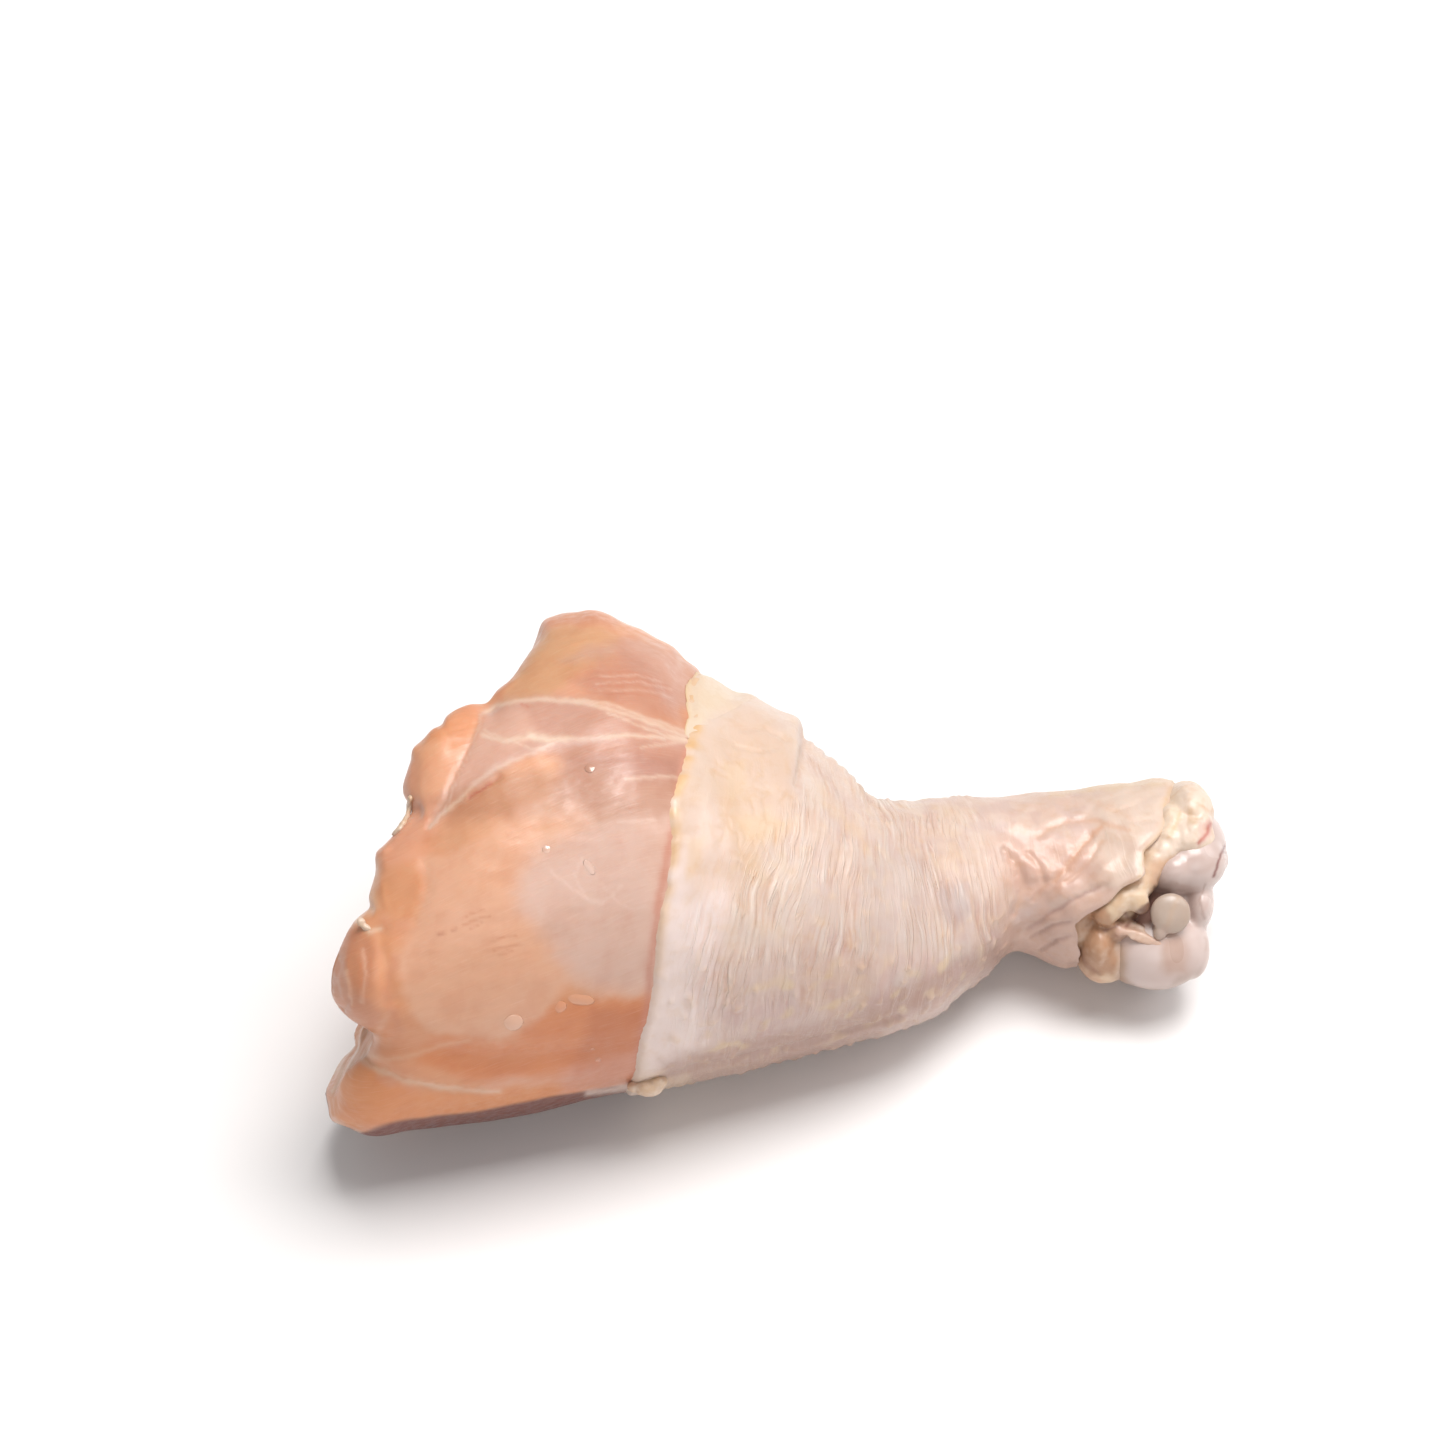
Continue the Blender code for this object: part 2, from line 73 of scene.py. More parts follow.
def photo_pixels(points):
    """Where points in metres show in the photograph, in pixels."""
    offset = points - CAMERA_PLACE
    depth = -(offset @ BACK)
    across = PHOTO_SIZE / 2 + FOCAL * (offset @ RIGHT) / depth
    down = PHOTO_SIZE / 2 - FOCAL * (offset @ UP) / depth
    return np.stack([across, down], axis=-1)


def lens_point(x, y, near, anchor):
    """The place in metres that shows at a pixel, this many mm nearer to the camera than the anchor."""
    depth = -((anchor - CAMERA_PLACE) @ BACK) - near * MILLIMETRE
    across = (x - PHOTO_SIZE / 2) / FOCAL * depth
    up = (PHOTO_SIZE / 2 - y) / FOCAL * depth
    return CAMERA_PLACE + across * RIGHT + up * UP - depth * BACK


def toward(normal):
    """How far a normal turns to the camera."""
    return (normal * BACK).sum(axis=-1)


# Where the leg's outline leaves the solids' smooth one: pixel, shift and reach, all in pixels.
PULLS = (
    (668, 655, 8, -10, 27), (640, 634, 1, -4, 14), (545, 624, -3, -4, 12), (576, 609, 0, 3, 12), (487, 702, 3, 7, 11),
    (437, 720, 3, 3, 7), (414, 748, -4, -1, 9), (407, 812, 11, 0, 13), (380, 855, -6, -3, 12), (364, 909, 6, 0, 9),
    (346, 1046, 8, 0, 10), (336, 1118, -6, 4, 12), (696, 670, 3, -8, 13), (735, 688, 0, 5, 12), (793, 722, 4, -4, 14),
    (803, 738, -1, 2, 6), (876, 789, -3, 10, 24), (908, 797, 0, 4, 16), (1074, 970, 1, -6, 9), (937, 1004, 1, 6, 20),
    (1092, 966, 0, 4, 18),
)


def pulled(points):
    """Moves points across the view so that the outline takes the photograph's small steps."""
    pixels = photo_pixels(points)
    shift = np.zeros_like(pixels)
    for *place_and_step, reach in PULLS:
        place, step = pairs(place_and_step)
        shift += np.exp(-((pixels - place) ** 2).sum(axis=-1) / reach**2)[..., None] * step
    moved = points + PIXEL * (shift[..., :1] * RIGHT - shift[..., 1:] * UP)
    moved[..., 2] = np.where(points[..., 2] < 0.002, points[..., 2], np.maximum(moved[..., 2], 0.0))
    return moved


def added(name, data):
    """A new object of the scene with this data."""
    item = bpy.data.objects.new(name, data)
    bpy.context.scene.collection.objects.link(item)
    return item


def placing(axes, place):
    """The matrix that puts a unit shape at a place, along three axes."""
    return Matrix((*zip(*axes, place), (0, 0, 0, 1)))


def add_camera():
    data = bpy.data.cameras.new("camera")
    data.lens = LENS
    data.sensor_width = SENSOR
    data.clip_start = 0.01
    camera = added("camera", data)
    camera.matrix_world = placing((RIGHT, UP, BACK), CAMERA_PLACE)
    bpy.context.scene.camera = camera


# ---------------------------------------------------------------- smooth noise and shaping

LATTICE = 64
GRADIENTS = np.random.RandomState(7).normal(size=(LATTICE, LATTICE, LATTICE, 3))
GRADIENTS /= np.linalg.norm(GRADIENTS, axis=-1, keepdims=True)
SEED_STEP = 17.31  # how far apart the seeds lie in the noise


def noise(points, seed):
    """Smooth gradient noise, about -0.7 to 0.7, that changes over a distance of 1."""
    points = np.asarray(points, float) + seed * SEED_STEP
    cell = np.floor(points).astype(int)
    part = points - cell
    ease = part**3 * (part * (part * 6 - 15) + 10)
    total = np.zeros(points.shape[:-1])
    for corner in np.ndindex(2, 2, 2):
        index = (cell + corner) % LATTICE
        gradient = GRADIENTS[index[..., 0], index[..., 1], index[..., 2]]
        weight = np.prod(np.where(corner, ease, 1 - ease), axis=-1)
        total += weight * ((part - corner) * gradient).sum(axis=-1)
    return total


def layered(points, layers, seed, fall=0.5):
    """Noise with ever finer and weaker layers."""
    total = 0.0
    for layer in range(layers):
        total = total + fall**layer * noise(points * 2.03**layer, seed + layer)
    return total


def sheet(across, along=None):
    """One or two coordinates as points of the noise."""
    return np.stack([across, 0 * across if along is None else along, 0 * across], axis=-1)


def smooth_step(value):
    t = np.clip(value, 0.0, 1.0)
    return t * t * (3 - 2 * t)


def veins(points, sharpness, seed):
    """1 on thin winding lines and 0 between them."""
    return smooth_step(1 - sharpness * np.abs(noise(points, seed)))


def smooth_curve(stations, values, at):
    """A smooth curve through the stations, by cubic pieces that share their slopes."""
    at = np.asarray(at, float)
    step = np.diff(stations)
    rise = np.diff(values) / step
    between = (rise[:-1] * step[1:] + rise[1:] * step[:-1]) / (step[:-1] + step[1:])
    slope = np.concatenate([rise[:1], between, rise[-1:]])
    index = np.clip(np.searchsorted(stations, at) - 1, 0, len(stations) - 2)
    t = np.clip((at - stations[index]) / step[index], 0.0, 1.0)
    start = values[index] * (2 * t**3 - 3 * t**2 + 1) + slope[index] * step[index] * (t**3 - 2 * t**2 + t)
    end = values[index + 1] * (3 * t**2 - 2 * t**3) + slope[index + 1] * step[index] * (t**3 - t**2)
    return start + end


def pairs(numbers):
    return np.array(numbers, float).reshape(-1, 2)


def curve_at(table, at):
    return smooth_curve(*pairs(table).T, at)


def angle_between(a, b=0):
    return (np.asarray(a, float) - b + 180.0) % 360.0 - 180.0


def bell(value, reach):
    return np.exp(-((value / reach) ** 2))


# ---------------------------------------------------------------- the leg's form, as in the solids

SECTION_POWER = 2.15
# x, the centre's y and z, and the reach up, to the front, down and to the back.
SECTIONS = (
    (-4, 0, 31, 23, 26, 31, 27), (0, 0, 31, 25, 28.5, 31, 30), (10, 0, 31, 28, 31, 31.5, 34),
    (22, 0, 31, 32, 31, 32, 38), (35, 0, 31, 34, 30, 32, 39), (46, 0, 31, 34, 29.5, 31.5, 38),
    (60, 0, 29.5, 24.7, 27, 30, 28), (72, 0, 26.5, 20, 24.5, 26, 22.5), (84, 1, 22, 13.5, 22, 21, 12.5),
    (92, 3, 19.5, 11, 18.5, 18, 10), (98.5, 4, 17.5, 10.5, 15, 14.5, 10.5), (102, 4, 17, 10.5, 12, 12, 10.5),
    (112, 3, 16, 11, 15.5, 14, 12), (122, 1, 16, 12.8, 18.5, 15.9, 13), (136, 1, 15, 13, 17, 15, 13),
)
# The cut at the knee: angle and x.
KNEE_RIM = (
    -180, 7, -135, 23, -90, 34, -45, 36, -22, 29, -10, 19, 2, 14, 14, 12.7, 28, 9, 40, 6.5, 50, 3, 64, 0.4, 74, 1,
    82, 5, 90, 4.6, 103, 0.8, 118, -1, 134, -2.4, 148, -1, 163, 3, 180, 7,
)
KNEE_ROUNDING = 7.0
KNEE_INSET = 4.3
KNEE_CENTRE = np.array((23.5, 1.0, 32.0))
KNEE_SWELL = 4.2
KNEE_SEAMS = (-118, -62, 16, 78, 152)
KNEE_SEAM_DEPTH = 2.6
KNEE_SEAM_WIDTH = 13
# x, angle, height, reach along x and reach in degrees.
MUSCLES = (
    (44, -38, 2.4, 12, 24), (17, -6, 2.2, 8, 14), (26, 52, 1.2, 18, 26), (4, 60, 1.8, 5, 12), (2, 116, 2.4, 7, 16),
    (24, 150, 1.0, 14, 20), (26, -100, 2.0, 16, 24), (20, -150, 1.5, 14, 22),
)
# A line through pairs of x and angle, depth and half width.
GROOVES = (
    ((13, 34, 18, 26, 26, 16, 36, 13, 52, 10), 0.55, 4.5),
    ((30, -20, 24, -2, 16, 26), 1.0, 4.0),
    ((0, 75, 8, 80, 22, 91, 38, 97), 0.9, 3.0),
    ((34, -70, 44, -74, 56, -78), 1.6, 4.0),
    ((24, -128, 36, -126, 48, -120), 1.4, 4.0),
)
SKIN_THICKNESS = 1.2
SKIN_LIP = 0.5
FLESH_STEP = 0.12
# The skin's edge over the flesh: mean x, swing and phase, and waves as height, number and phase.
SKIN_EDGE = (50.8, 9.8, 68)
EDGE_WAVES = ((0.7, 5, 20), (0.4, 9, 140))
# How far the edge departs from that line in the photograph: angle and units.
SKIN_EDGE_SHIFTS = (
    -180, 0, -40, 0, 0, 0, 14, 0, 27, -0.7, 36, 0.4, 44, 1.4, 60, 1.3, 76, 0.6, 92, 0.8, 114, 0.6, 140, 0, 180, 0,
)
ROLL_HEIGHT = 2.3
ROLL_ANGLE = -22
ROLL_SPREAD = 34
ROLL_X = 65.5
ROLL_REACH = 9.0
CREASE_X = (70.8, -0.066)
CREASE_DROP = 1.5
CREASE_WIDTH = 1.8
SKIN_FOLDS = (
    ((44, 94, 55, 92, 68, 88, 84, 86), 0.15, 2.4),
    ((105, -20, 112, 14, 119, 30), 0.25, 1.8),
    ((102, 10, 109, 36, 114, 52), 0.3, 1.8),
    ((103, 46, 108, 70, 111, 92), 0.3, 1.6),
)


def section_at(x):
    table = np.array(SECTIONS, float).T
    return [smooth_curve(table[0], column, x) for column in table[1:]]


def bare_radius(x, angle):
    _, _, up, front, down, back = section_at(x)
    side = np.sin(np.radians(angle))
    rise = np.cos(np.radians(angle))
    across = np.abs(side / np.where(side > 0, front, back)) ** SECTION_POWER
    along = np.abs(rise / np.where(rise > 0, up, down)) ** SECTION_POWER
    return (across + along) ** (-1 / SECTION_POWER)


def grooves(x, angle, lines):
    scale = np.radians(1.0) * bare_radius(x, angle)
    total = 0.0
    for line, depth, half_width in lines:
        best = np.full(np.shape(x), 1e9)
        line = pairs(line)
        for (x0, a0), (x1, a1) in zip(line[:-1], line[1:]):
            dx = x - x0
            da = angle_between(angle, a0) * scale
            ux = x1 - x0
            ua = (a1 - a0) * scale
            t = np.clip((dx * ux + da * ua) / (ux**2 + ua**2), 0.0, 1.0)
            best = np.minimum(best, np.hypot(dx - t * ux, da - t * ua))
        total = total - depth * bell(best, half_width)
    return total


def muscle_relief(x, angle):
    muscles = 0.0
    for at_x, at_angle, height, reach_x, reach_angle in MUSCLES:
        muscles = muscles + height * bell(x - at_x, reach_x) * bell(angle_between(angle, at_angle), reach_angle)
    return grooves(x, angle, GROOVES) + muscles


def skin_relief(x, angle):
    """The rolled fold at the skin's top, with the crease behind it, and the folds further on."""
    fade = bell(angle_between(angle, ROLL_ANGLE), ROLL_SPREAD)
    crease = CREASE_X[0] + CREASE_X[1] * angle_between(angle)
    width = CREASE_WIDTH * (1 + 2.6 * smooth_step((angle_between(angle, -14)) / 26))
    before = 1 - smooth_step((x - crease) / width + 0.5)
    roll = ROLL_HEIGHT * bell(x - ROLL_X, ROLL_REACH) * before
    drop = -CREASE_DROP * (1 - before) * bell(x - crease, ROLL_REACH)
    return fade * (roll + drop) + grooves(x, angle, SKIN_FOLDS)


def point(x, angle, lift, floor=0.0):
    """The place in units at x and an angle, lifted off the bare leg."""
    x = np.asarray(x, float) + 0 * angle
    centre_y, centre_z = section_at(x)[:2]
    radius = bare_radius(x, angle) + lift
    y = centre_y - radius * np.sin(np.radians(angle))
    z = np.maximum(centre_z + radius * np.cos(np.radians(angle)), floor)
    return np.stack([x, y, z], axis=-1)


def skin_edge(angle):
    mean, swing, phase = SKIN_EDGE
    line = mean + swing * np.cos(np.radians(angle + phase))
    for height, waves, start in EDGE_WAVES:
        line = line + height * np.sin(np.radians(waves * angle + start))
    return line + curve_at(SKIN_EDGE_SHIFTS, angle_between(angle))


def knee_rim(angle):
    return curve_at(KNEE_RIM, angle_between(angle))


def flesh_lift(x, angle, edge_x):
    near = bell(np.maximum(edge_x - x, 0), 9.0)
    return muscle_relief(x, angle) * (1 - 0.85 * near) + 0.85 * near * skin_relief(x, angle) - FLESH_STEP * near


def flesh_waves(points):
    return 0.22 * layered(points * 0.11, 3, 3) + 0.07 * layered(points * (0.14, 0.6, 0.6), 3, 5)


def skin_swell(points):
    return 0.38 * layered(points * 0.10, 2, 51) + 0.30 * noise(points * (0.30, 0.16, 0.16), 53)


def cut_swell(share, angle):
    seams = 0.0
    for seam in KNEE_SEAMS:
        seams = seams + bell(angle_between(angle, seam), KNEE_SEAM_WIDTH)
    return (KNEE_SWELL - KNEE_SEAM_DEPTH * seams) * math.sin(math.pi * share**0.8)


def to_world(points):
    return points * UNIT + LEG_ORIGIN


def angles_around(count, share):
    """Angles round the leg, with this share of them on the side that faces the viewer."""
    start, end = -75, 150
    many = int(count * share)
    front = np.linspace(start, end, many, endpoint=False)
    rest = np.linspace(end, start + 360, count - many, endpoint=False)
    return np.concatenate([front, rest])


# ---------------------------------------------------------------- drawing on surfaces

DRAWING_REACH = 50  # pixels round a line within which distances matter
FAR = 1e3


def line_distance(places, line):
    """Distance from places in pixels to a line of points, or a large value far from it."""
    line = pairs(line)
    low = line.min(axis=0) - DRAWING_REACH
    high = line.max(axis=0) + DRAWING_REACH
    near = ((places > low) & (places < high)).all(axis=-1)
    spots = places[near]
    best = np.full(len(spots), FAR)
    for start, end in zip(line[:-1], line[1:]):
        run = end - start
        t = np.clip(((spots - start) @ run) / (run @ run), 0.0, 1.0)
        best = np.minimum(best, np.linalg.norm(spots - start - t[:, None] * run, axis=-1))
    distance = np.full(places.shape[:-1], FAR)
    distance[near] = best
    return distance


def inside(places, outline, soft):
    """1 inside a closed outline and 0 outside, with an edge of the given softness."""
    outline = pairs(outline)
    within = np.zeros(places.shape[:-1], bool)
    x, y = places[..., 0], places[..., 1]
    for (x0, y0), (x1, y1) in zip(outline, np.roll(outline, -1, axis=0)):
        if y0 != y1:
            within ^= ((y0 > y) != (y1 > y)) & (x < (x1 - x0) * (y - y0) / (y1 - y0) + x0)
    distance = line_distance(places, np.vstack([outline, outline[:1]]))
    return smooth_step(0.5 + np.where(within, distance, -distance) / soft)


def srgb(red, green, blue):
    """A colour given as 0 to 255, in linear light."""
    value = np.array((red, green, blue)) / 255.0
    return np.where(value <= 0.04045, value / 12.92, ((value + 0.055) / 1.055) ** 2.4)


def plain_tint(colour, shape):
    return np.broadcast_to(srgb(*colour), (*shape, 3))


def mix(first, second, share):
    share = np.asarray(share)[..., None]
    return first * (1 - share) + second * share


def glazed(tint, *layers):
    """Lays colours over a tint: colour, share, colour, share and so on."""
    for colour, share in zip(layers[::2], layers[1::2]):
        tint = mix(tint, srgb(*colour), share)
    return tint


def shaken(pixels, amount, reach, seed):
    """Pixels with small random steps, which keep drawn edges from looking ruled."""
    places = np.concatenate([pixels / reach, 0 * pixels[..., :1]], axis=-1)
    return pixels + amount * np.stack([layered(places, 3, seed), layered(places, 3, seed + 4)], axis=-1)


def painted(tint, pixels, seen, patches, lines):
    """Colours a surface by areas and lines that are given as pixels of the photograph."""
    drawn = shaken(pixels, 5.0, 17.0, 101)
    for outline, soft, colour, amount in patches:
        tint = mix(tint, srgb(*colour), amount * inside(drawn, outline, soft) * seen)
    drawn = shaken(pixels, 2.0, 9.0, 111)
    for line, width, colour, amount in lines:
        tint = mix(tint, srgb(*colour), amount * bell(line_distance(drawn, line), width) * seen)
    return tint


def pressed(pixels, seen, lines):
    """Relief from lines that are given as pixels of the photograph, with a half width and a height each."""
    drawn = shaken(pixels, 2.0, 9.0, 111)
    total = 0.0 * seen
    for line, width, height in lines:
        total = total + height * bell(line_distance(drawn, line), width) * seen
    return total


# ---------------------------------------------------------------- mesh helpers


def grid_normals(points):
    """Normals of a grid of points that is closed around its columns."""
    along = np.gradient(points, axis=0)
    around = (np.roll(points, -1, axis=1) - np.roll(points, 1, axis=1)) / 2
    normal = np.cross(around, along)
    return normal / np.maximum(np.linalg.norm(normal, axis=-1, keepdims=True), 1e-12)


def finished(name, mesh, material):
    mesh.update()
    mesh.shade_smooth()
    mesh.materials.clear()
    mesh.materials.append(material)
    return added(name, mesh)


def mesh_from(name, points, faces):
    mesh = bpy.data.meshes.new(name)
    mesh.from_pydata(points.tolist(), [], faces)
    return mesh


def grid_mesh(name, points, start=None, end=None):
    """A mesh over a grid closed around its columns. An end that is given a point closes on it."""
    rows, columns = points.shape[:2]
    index = np.arange(rows * columns).reshape(rows, columns)
    following = np.roll(index, -1, axis=1)
    faces = np.stack([index[:-1], following[:-1], following[1:], index[1:]], axis=-1).reshape(-1, 4).tolist()
    flat = points.reshape(-1, 3)
    for tip, first, second in ((start, following[0], index[0]), (end, index[-1], following[-1])):
        if tip is not None:
            faces += [(len(flat), first[i], second[i]) for i in range(columns)]
            flat = np.vstack([flat, tip])
    return mesh_from(name, flat, faces)


def tube_mesh(name, points):
    return grid_mesh(name, points, points[0].mean(axis=0), points[-1].mean(axis=0))


def ball(shape, axes, place):
    bmesh.ops.create_icosphere(shape, subdivisions=4, radius=1.0, matrix=placing(axes, place))


def lens_ball(shape, anchor, x, y, near, wide, high, depth, tilt=0.0):
    """Adds an ellipsoid that shows at a pixel with this size in pixels, and this depth in mm."""
    turn = math.radians(tilt)
    across = RIGHT * math.cos(turn) + UP * math.sin(turn)
    up = UP * math.cos(turn) - RIGHT * math.sin(turn)
    axes = (across * wide * PIXEL, up * high * PIXEL, BACK * depth * MILLIMETRE)
    ball(shape, axes, lens_point(x, y, near, anchor))


def lens_balls(anchor, rows, shape=None):
    """Adds ellipsoids, each as lens_ball takes it, to a new shape or to the one that is given."""
    if shape is None:
        shape = bmesh.new()
    for row in rows:
        lens_ball(shape, anchor, *row)
    return shape


def unit_ball(shape, centre, radii):
    """Adds an ellipsoid with its centre and radii in units."""
    ball(shape, np.diag(radii) * UNIT, to_world(centre))


def vectors(items, field):
    values = np.empty(len(items) * 3)
    items.foreach_get(field, values)
    return values.reshape(-1, 3)


def grown_together(name, shape, voxel, easing, material, relief):
    """One smooth skin round all the shapes, with a relief along its normals."""
    mesh = bpy.data.meshes.new(name)
    shape.to_mesh(mesh)
    shape.free()
    rough = added(name, mesh)
    merge = rough.modifiers.new("merge", "REMESH")
    merge.mode = "VOXEL"
    merge.voxel_size = voxel
    ease = rough.modifiers.new("ease", "SMOOTH")
    ease.factor = 0.5
    ease.iterations = easing
    graph = bpy.context.evaluated_depsgraph_get()
    made = bpy.data.meshes.new_from_object(rough.evaluated_get(graph))
    bpy.data.objects.remove(rough)
    points = vectors(made.vertices, "co")
    normals = vectors(made.vertex_normals, "vector")
    points = points + normals * relief(points)[:, None]
    points[:, 2] = np.maximum(points[:, 2], 0.0)
    made.vertices.foreach_set("co", points.ravel())
    return finished(name, made, material), points, normals


def crumbs(strength, scale, layers=3, seed=61):
    """A relief of fine lumps."""
    return lambda points: strength * layered(points * scale, layers, seed)


# The colours below are as they look under the studio's light. These factors make them the surface's own.
BODY_TONE = 0.75
SKIN_TONE = np.array((0.609, 0.581, 0.578))
CONDYLE_TONE = np.array((0.58, 0.54, 0.515))
TISSUE_TONE = np.array((0.72, 0.675, 0.65))


def set_colour(item, name, values, tone=BODY_TONE):
    """A colour, or one value, per vertex. Vertices beyond the given values take the last one."""
    values = values.reshape(-1, values.shape[-1]) * tone
    full = np.ones((len(item.data.vertices), 4))
    full[: len(values), :3] = values
    full[len(values):, :3] = values[-1]
    item.data.attributes.new(name, "FLOAT_COLOR", "POINT").data.foreach_set("color", full.ravel())


def set_vector(item, name, values):
    values = values.reshape(-1, 3)
    full = np.zeros((len(item.data.vertices), 3))
    full[: len(values)] = values
    item.data.attributes.new(name, "FLOAT_VECTOR", "POINT").data.foreach_set("vector", full.ravel())


def dress(item, node):
    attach(item, "root")
    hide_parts(node)


# ---------------------------------------------------------------- materials


class Shader:
    """A Principled material with small helpers for its node tree."""

    def __init__(self, name, **values):
        self.material = bpy.data.materials.new(name)
        self.material.use_nodes = True
        self.nodes = self.material.node_tree.nodes
        self.links = self.material.node_tree.links
        self.main = self.nodes["Principled BSDF"]
        for key, value in values.items():
            self.main.inputs[key.replace("_", " ").title().replace("Ior", "IOR")].default_value = value

    def feed(self, node, inputs):
        """Gives a node's inputs their numbers, colours and links."""
        for key, value in inputs.items():
            socket = node.inputs[key]
            if isinstance(value, (int, float)):
                socket.default_value = value
            elif isinstance(value, (tuple, np.ndarray)):
                socket.default_value = value if socket.type == "VECTOR" else (*value, 1.0)
            elif value is not None:
                self.links.new(value, socket)

    def made(self, kind, output, inputs, **settings):
        """The output of a new node."""
        node = self.nodes.new("ShaderNode" + kind)
        for key, value in settings.items():
            setattr(node, key, value)
        self.feed(node, inputs)
        return node.outputs[output]

    def attribute(self, name, output="Color"):
        return self.made("Attribute", output, {}, attribute_name=name)

    def place(self):
        return self.made("NewGeometry", "Position", {})

    def noise(self, vector, scale, detail=3.0, roughness=0.5):
        inputs = {"Vector": vector, "Scale": scale, "Detail": detail, "Roughness": roughness}
        return self.made("TexNoise", "Fac", inputs)

    def ramp(self, value, low, high, start=0.35, end=0.65):
        """Maps a value smoothly from one range to another."""
        inputs = {"Value": value, "From Min": start, "From Max": end, "To Min": low, "To Max": high}
        return self.made("MapRange", "Result", inputs, interpolation_type="SMOOTHSTEP")

    def scaled(self, vector, scale):
        return self.made("VectorMath", 0, {0: vector, 1: scale}, operation="MULTIPLY")

    def math(self, operation, first, second):
        return self.made("Math", 0, {0: first, 1: second}, operation=operation)

    def blend(self, first, second, factor, mode="MIX"):
        return self.made("Mix", 2, {"Factor": factor, 6: first, 7: second}, data_type="RGBA", blend_type=mode)

    def bump(self, height, strength, distance, normal=None):
        inputs = {"Strength": strength, "Distance": distance, "Height": height, "Normal": normal}
        return self.made("Bump", "Normal", inputs)

    def finish(self, colour, roughness=None, normal=None):
        self.feed(self.main, {"Base Color": colour, "Roughness": roughness, "Normal": normal})
        return self.material


def flesh_material():
    """Wet raw muscle: fine fibres, a translucent body and a glossy film."""
    shader = Shader(
        "raw_flesh",
        subsurface_radius=(1.0, 0.42, 0.26),
        subsurface_scale=0.0014,
        coat_weight=0.2,
        coat_roughness=0.24,
        coat_ior=1.4,
    )
    grain = shader.attribute("grain", "Vector")
    fibres = shader.noise(shader.scaled(grain, (1.0, 0.07, 0.3)), 2.0, 5.0, 0.62)
    threads = shader.noise(shader.scaled(grain, (1.0, 0.05, 0.2)), 5.0, 3.0, 0.55)
    clouds = shader.noise(grain, 0.20, 4.0, 0.55)
    colour = shader.attribute("tint")
    colour = shader.blend(colour, (0.90, 0.80, 0.74), shader.ramp(fibres, 0.0, 0.28, 0.5, 0.75), "MULTIPLY")
    colour = shader.blend(colour, (0.95, 0.78, 0.66), shader.ramp(threads, 0.0, 0.08, 0.52, 0.8))
    colour = shader.blend(colour, (0.93, 0.85, 0.80), shader.ramp(clouds, 0.0, 0.7, 0.42, 0.7), "MULTIPLY")
    roughness = shader.ramp(shader.noise(grain, 0.7, 3.0), 0.30, 0.46)
    normal = shader.bump(threads, 0.25, 0.00005, shader.bump(fibres, 0.3, 0.00010))
    shader.feed(shader.main, {"Subsurface Weight": shader.attribute("thick", "Fac")})
    return shader.finish(colour, roughness, normal)


def skin_material():
    """Thin wrinkled skin over fat: waxy, with fine lines along the wrinkles, painted darker in their low parts as
    shade and lighter on their high parts as highlight.
    """
    shader = Shader(
        "poultry_skin",
        subsurface_radius=(1.0, 0.62, 0.48),
        subsurface_scale=0.0010,
        coat_weight=0.25,
        coat_roughness=0.2,
    )
    grain = shader.attribute("grain", "Vector")
    lined = shader.attribute("lined", "Fac")
    pores = shader.noise(grain, 2.2, 4.0, 0.6)
    mottle = shader.noise(grain, 0.40, 4.0, 0.6)
    along = shader.scaled(grain, (1.0, 0.08, 1.0))
    lines = shader.noise(along, 1.5, 3.0, 0.55)
    creases = shader.noise(along, 1.0, 1.0, 0.5)
    from_middle = shader.math("ABSOLUTE", shader.math("SUBTRACT", creases, 0.5), 0.0)
    ridges = shader.math("MULTIPLY", shader.ramp(from_middle, 1.0, 0.0, 0.0, 0.045), lined)
    # Painted shade on the low lines of the relief and a painted highlight on its high lines.
    valley_shade_lines = shader.math("MULTIPLY", shader.ramp(lines, 0.7, 0.0, 0.36, 0.52), lined)
    ridge_highlight_lines = shader.math("MULTIPLY", shader.ramp(lines, 0.0, 0.25, 0.55, 0.72), lined)
    colour = shader.attribute("tint")
    colour = shader.blend(colour, (0.93, 0.82, 0.75), valley_shade_lines, "MULTIPLY")
    colour = shader.blend(colour, (0.95, 0.88, 0.78), shader.ramp(mottle, 0.0, 0.5, 0.48, 0.68), "MULTIPLY")
    colour = shader.blend(colour, (0.86, 0.80, 0.74), ridge_highlight_lines)
    colour = shader.blend(colour, (0.66, 0.49, 0.38), shader.math("MULTIPLY", ridges, 0.35))
    normal = shader.bump(shader.math("MULTIPLY", lines, lined), 0.5, 0.00026, shader.bump(pores, 0.25, 0.00006))
    shader.feed(shader.main, {"Subsurface Weight": shader.attribute("thick", "Fac")})
    return shader.finish(colour, shader.ramp(pores, 0.36, 0.52), shader.bump(ridges, 0.6, 0.00020, normal))


def cartilage_material(name="wet_cartilage", roughness=0.22):
    """Smooth bluish gristle with a wet film."""
    shader = Shader(
        name,
        subsurface_weight=0.12,
        subsurface_radius=(1.0, 0.75, 0.65),
        subsurface_scale=0.0014,
        coat_weight=0.14,
        coat_roughness=0.28,
    )
    place = shader.place()
    clouds = shader.noise(place, 220.0, 2.0, 0.5)
    waves = shader.noise(place, 140.0, 1.0, 0.4)
    cloudy = shader.ramp(clouds, 0.0, 0.6, 0.45, 0.68)
    colour = shader.blend(shader.attribute("tint"), (0.96, 0.92, 0.90), cloudy, "MULTIPLY")
    return shader.finish(colour, shader.ramp(waves, roughness, roughness + 0.10), shader.bump(waves, 0.2, 0.00010))


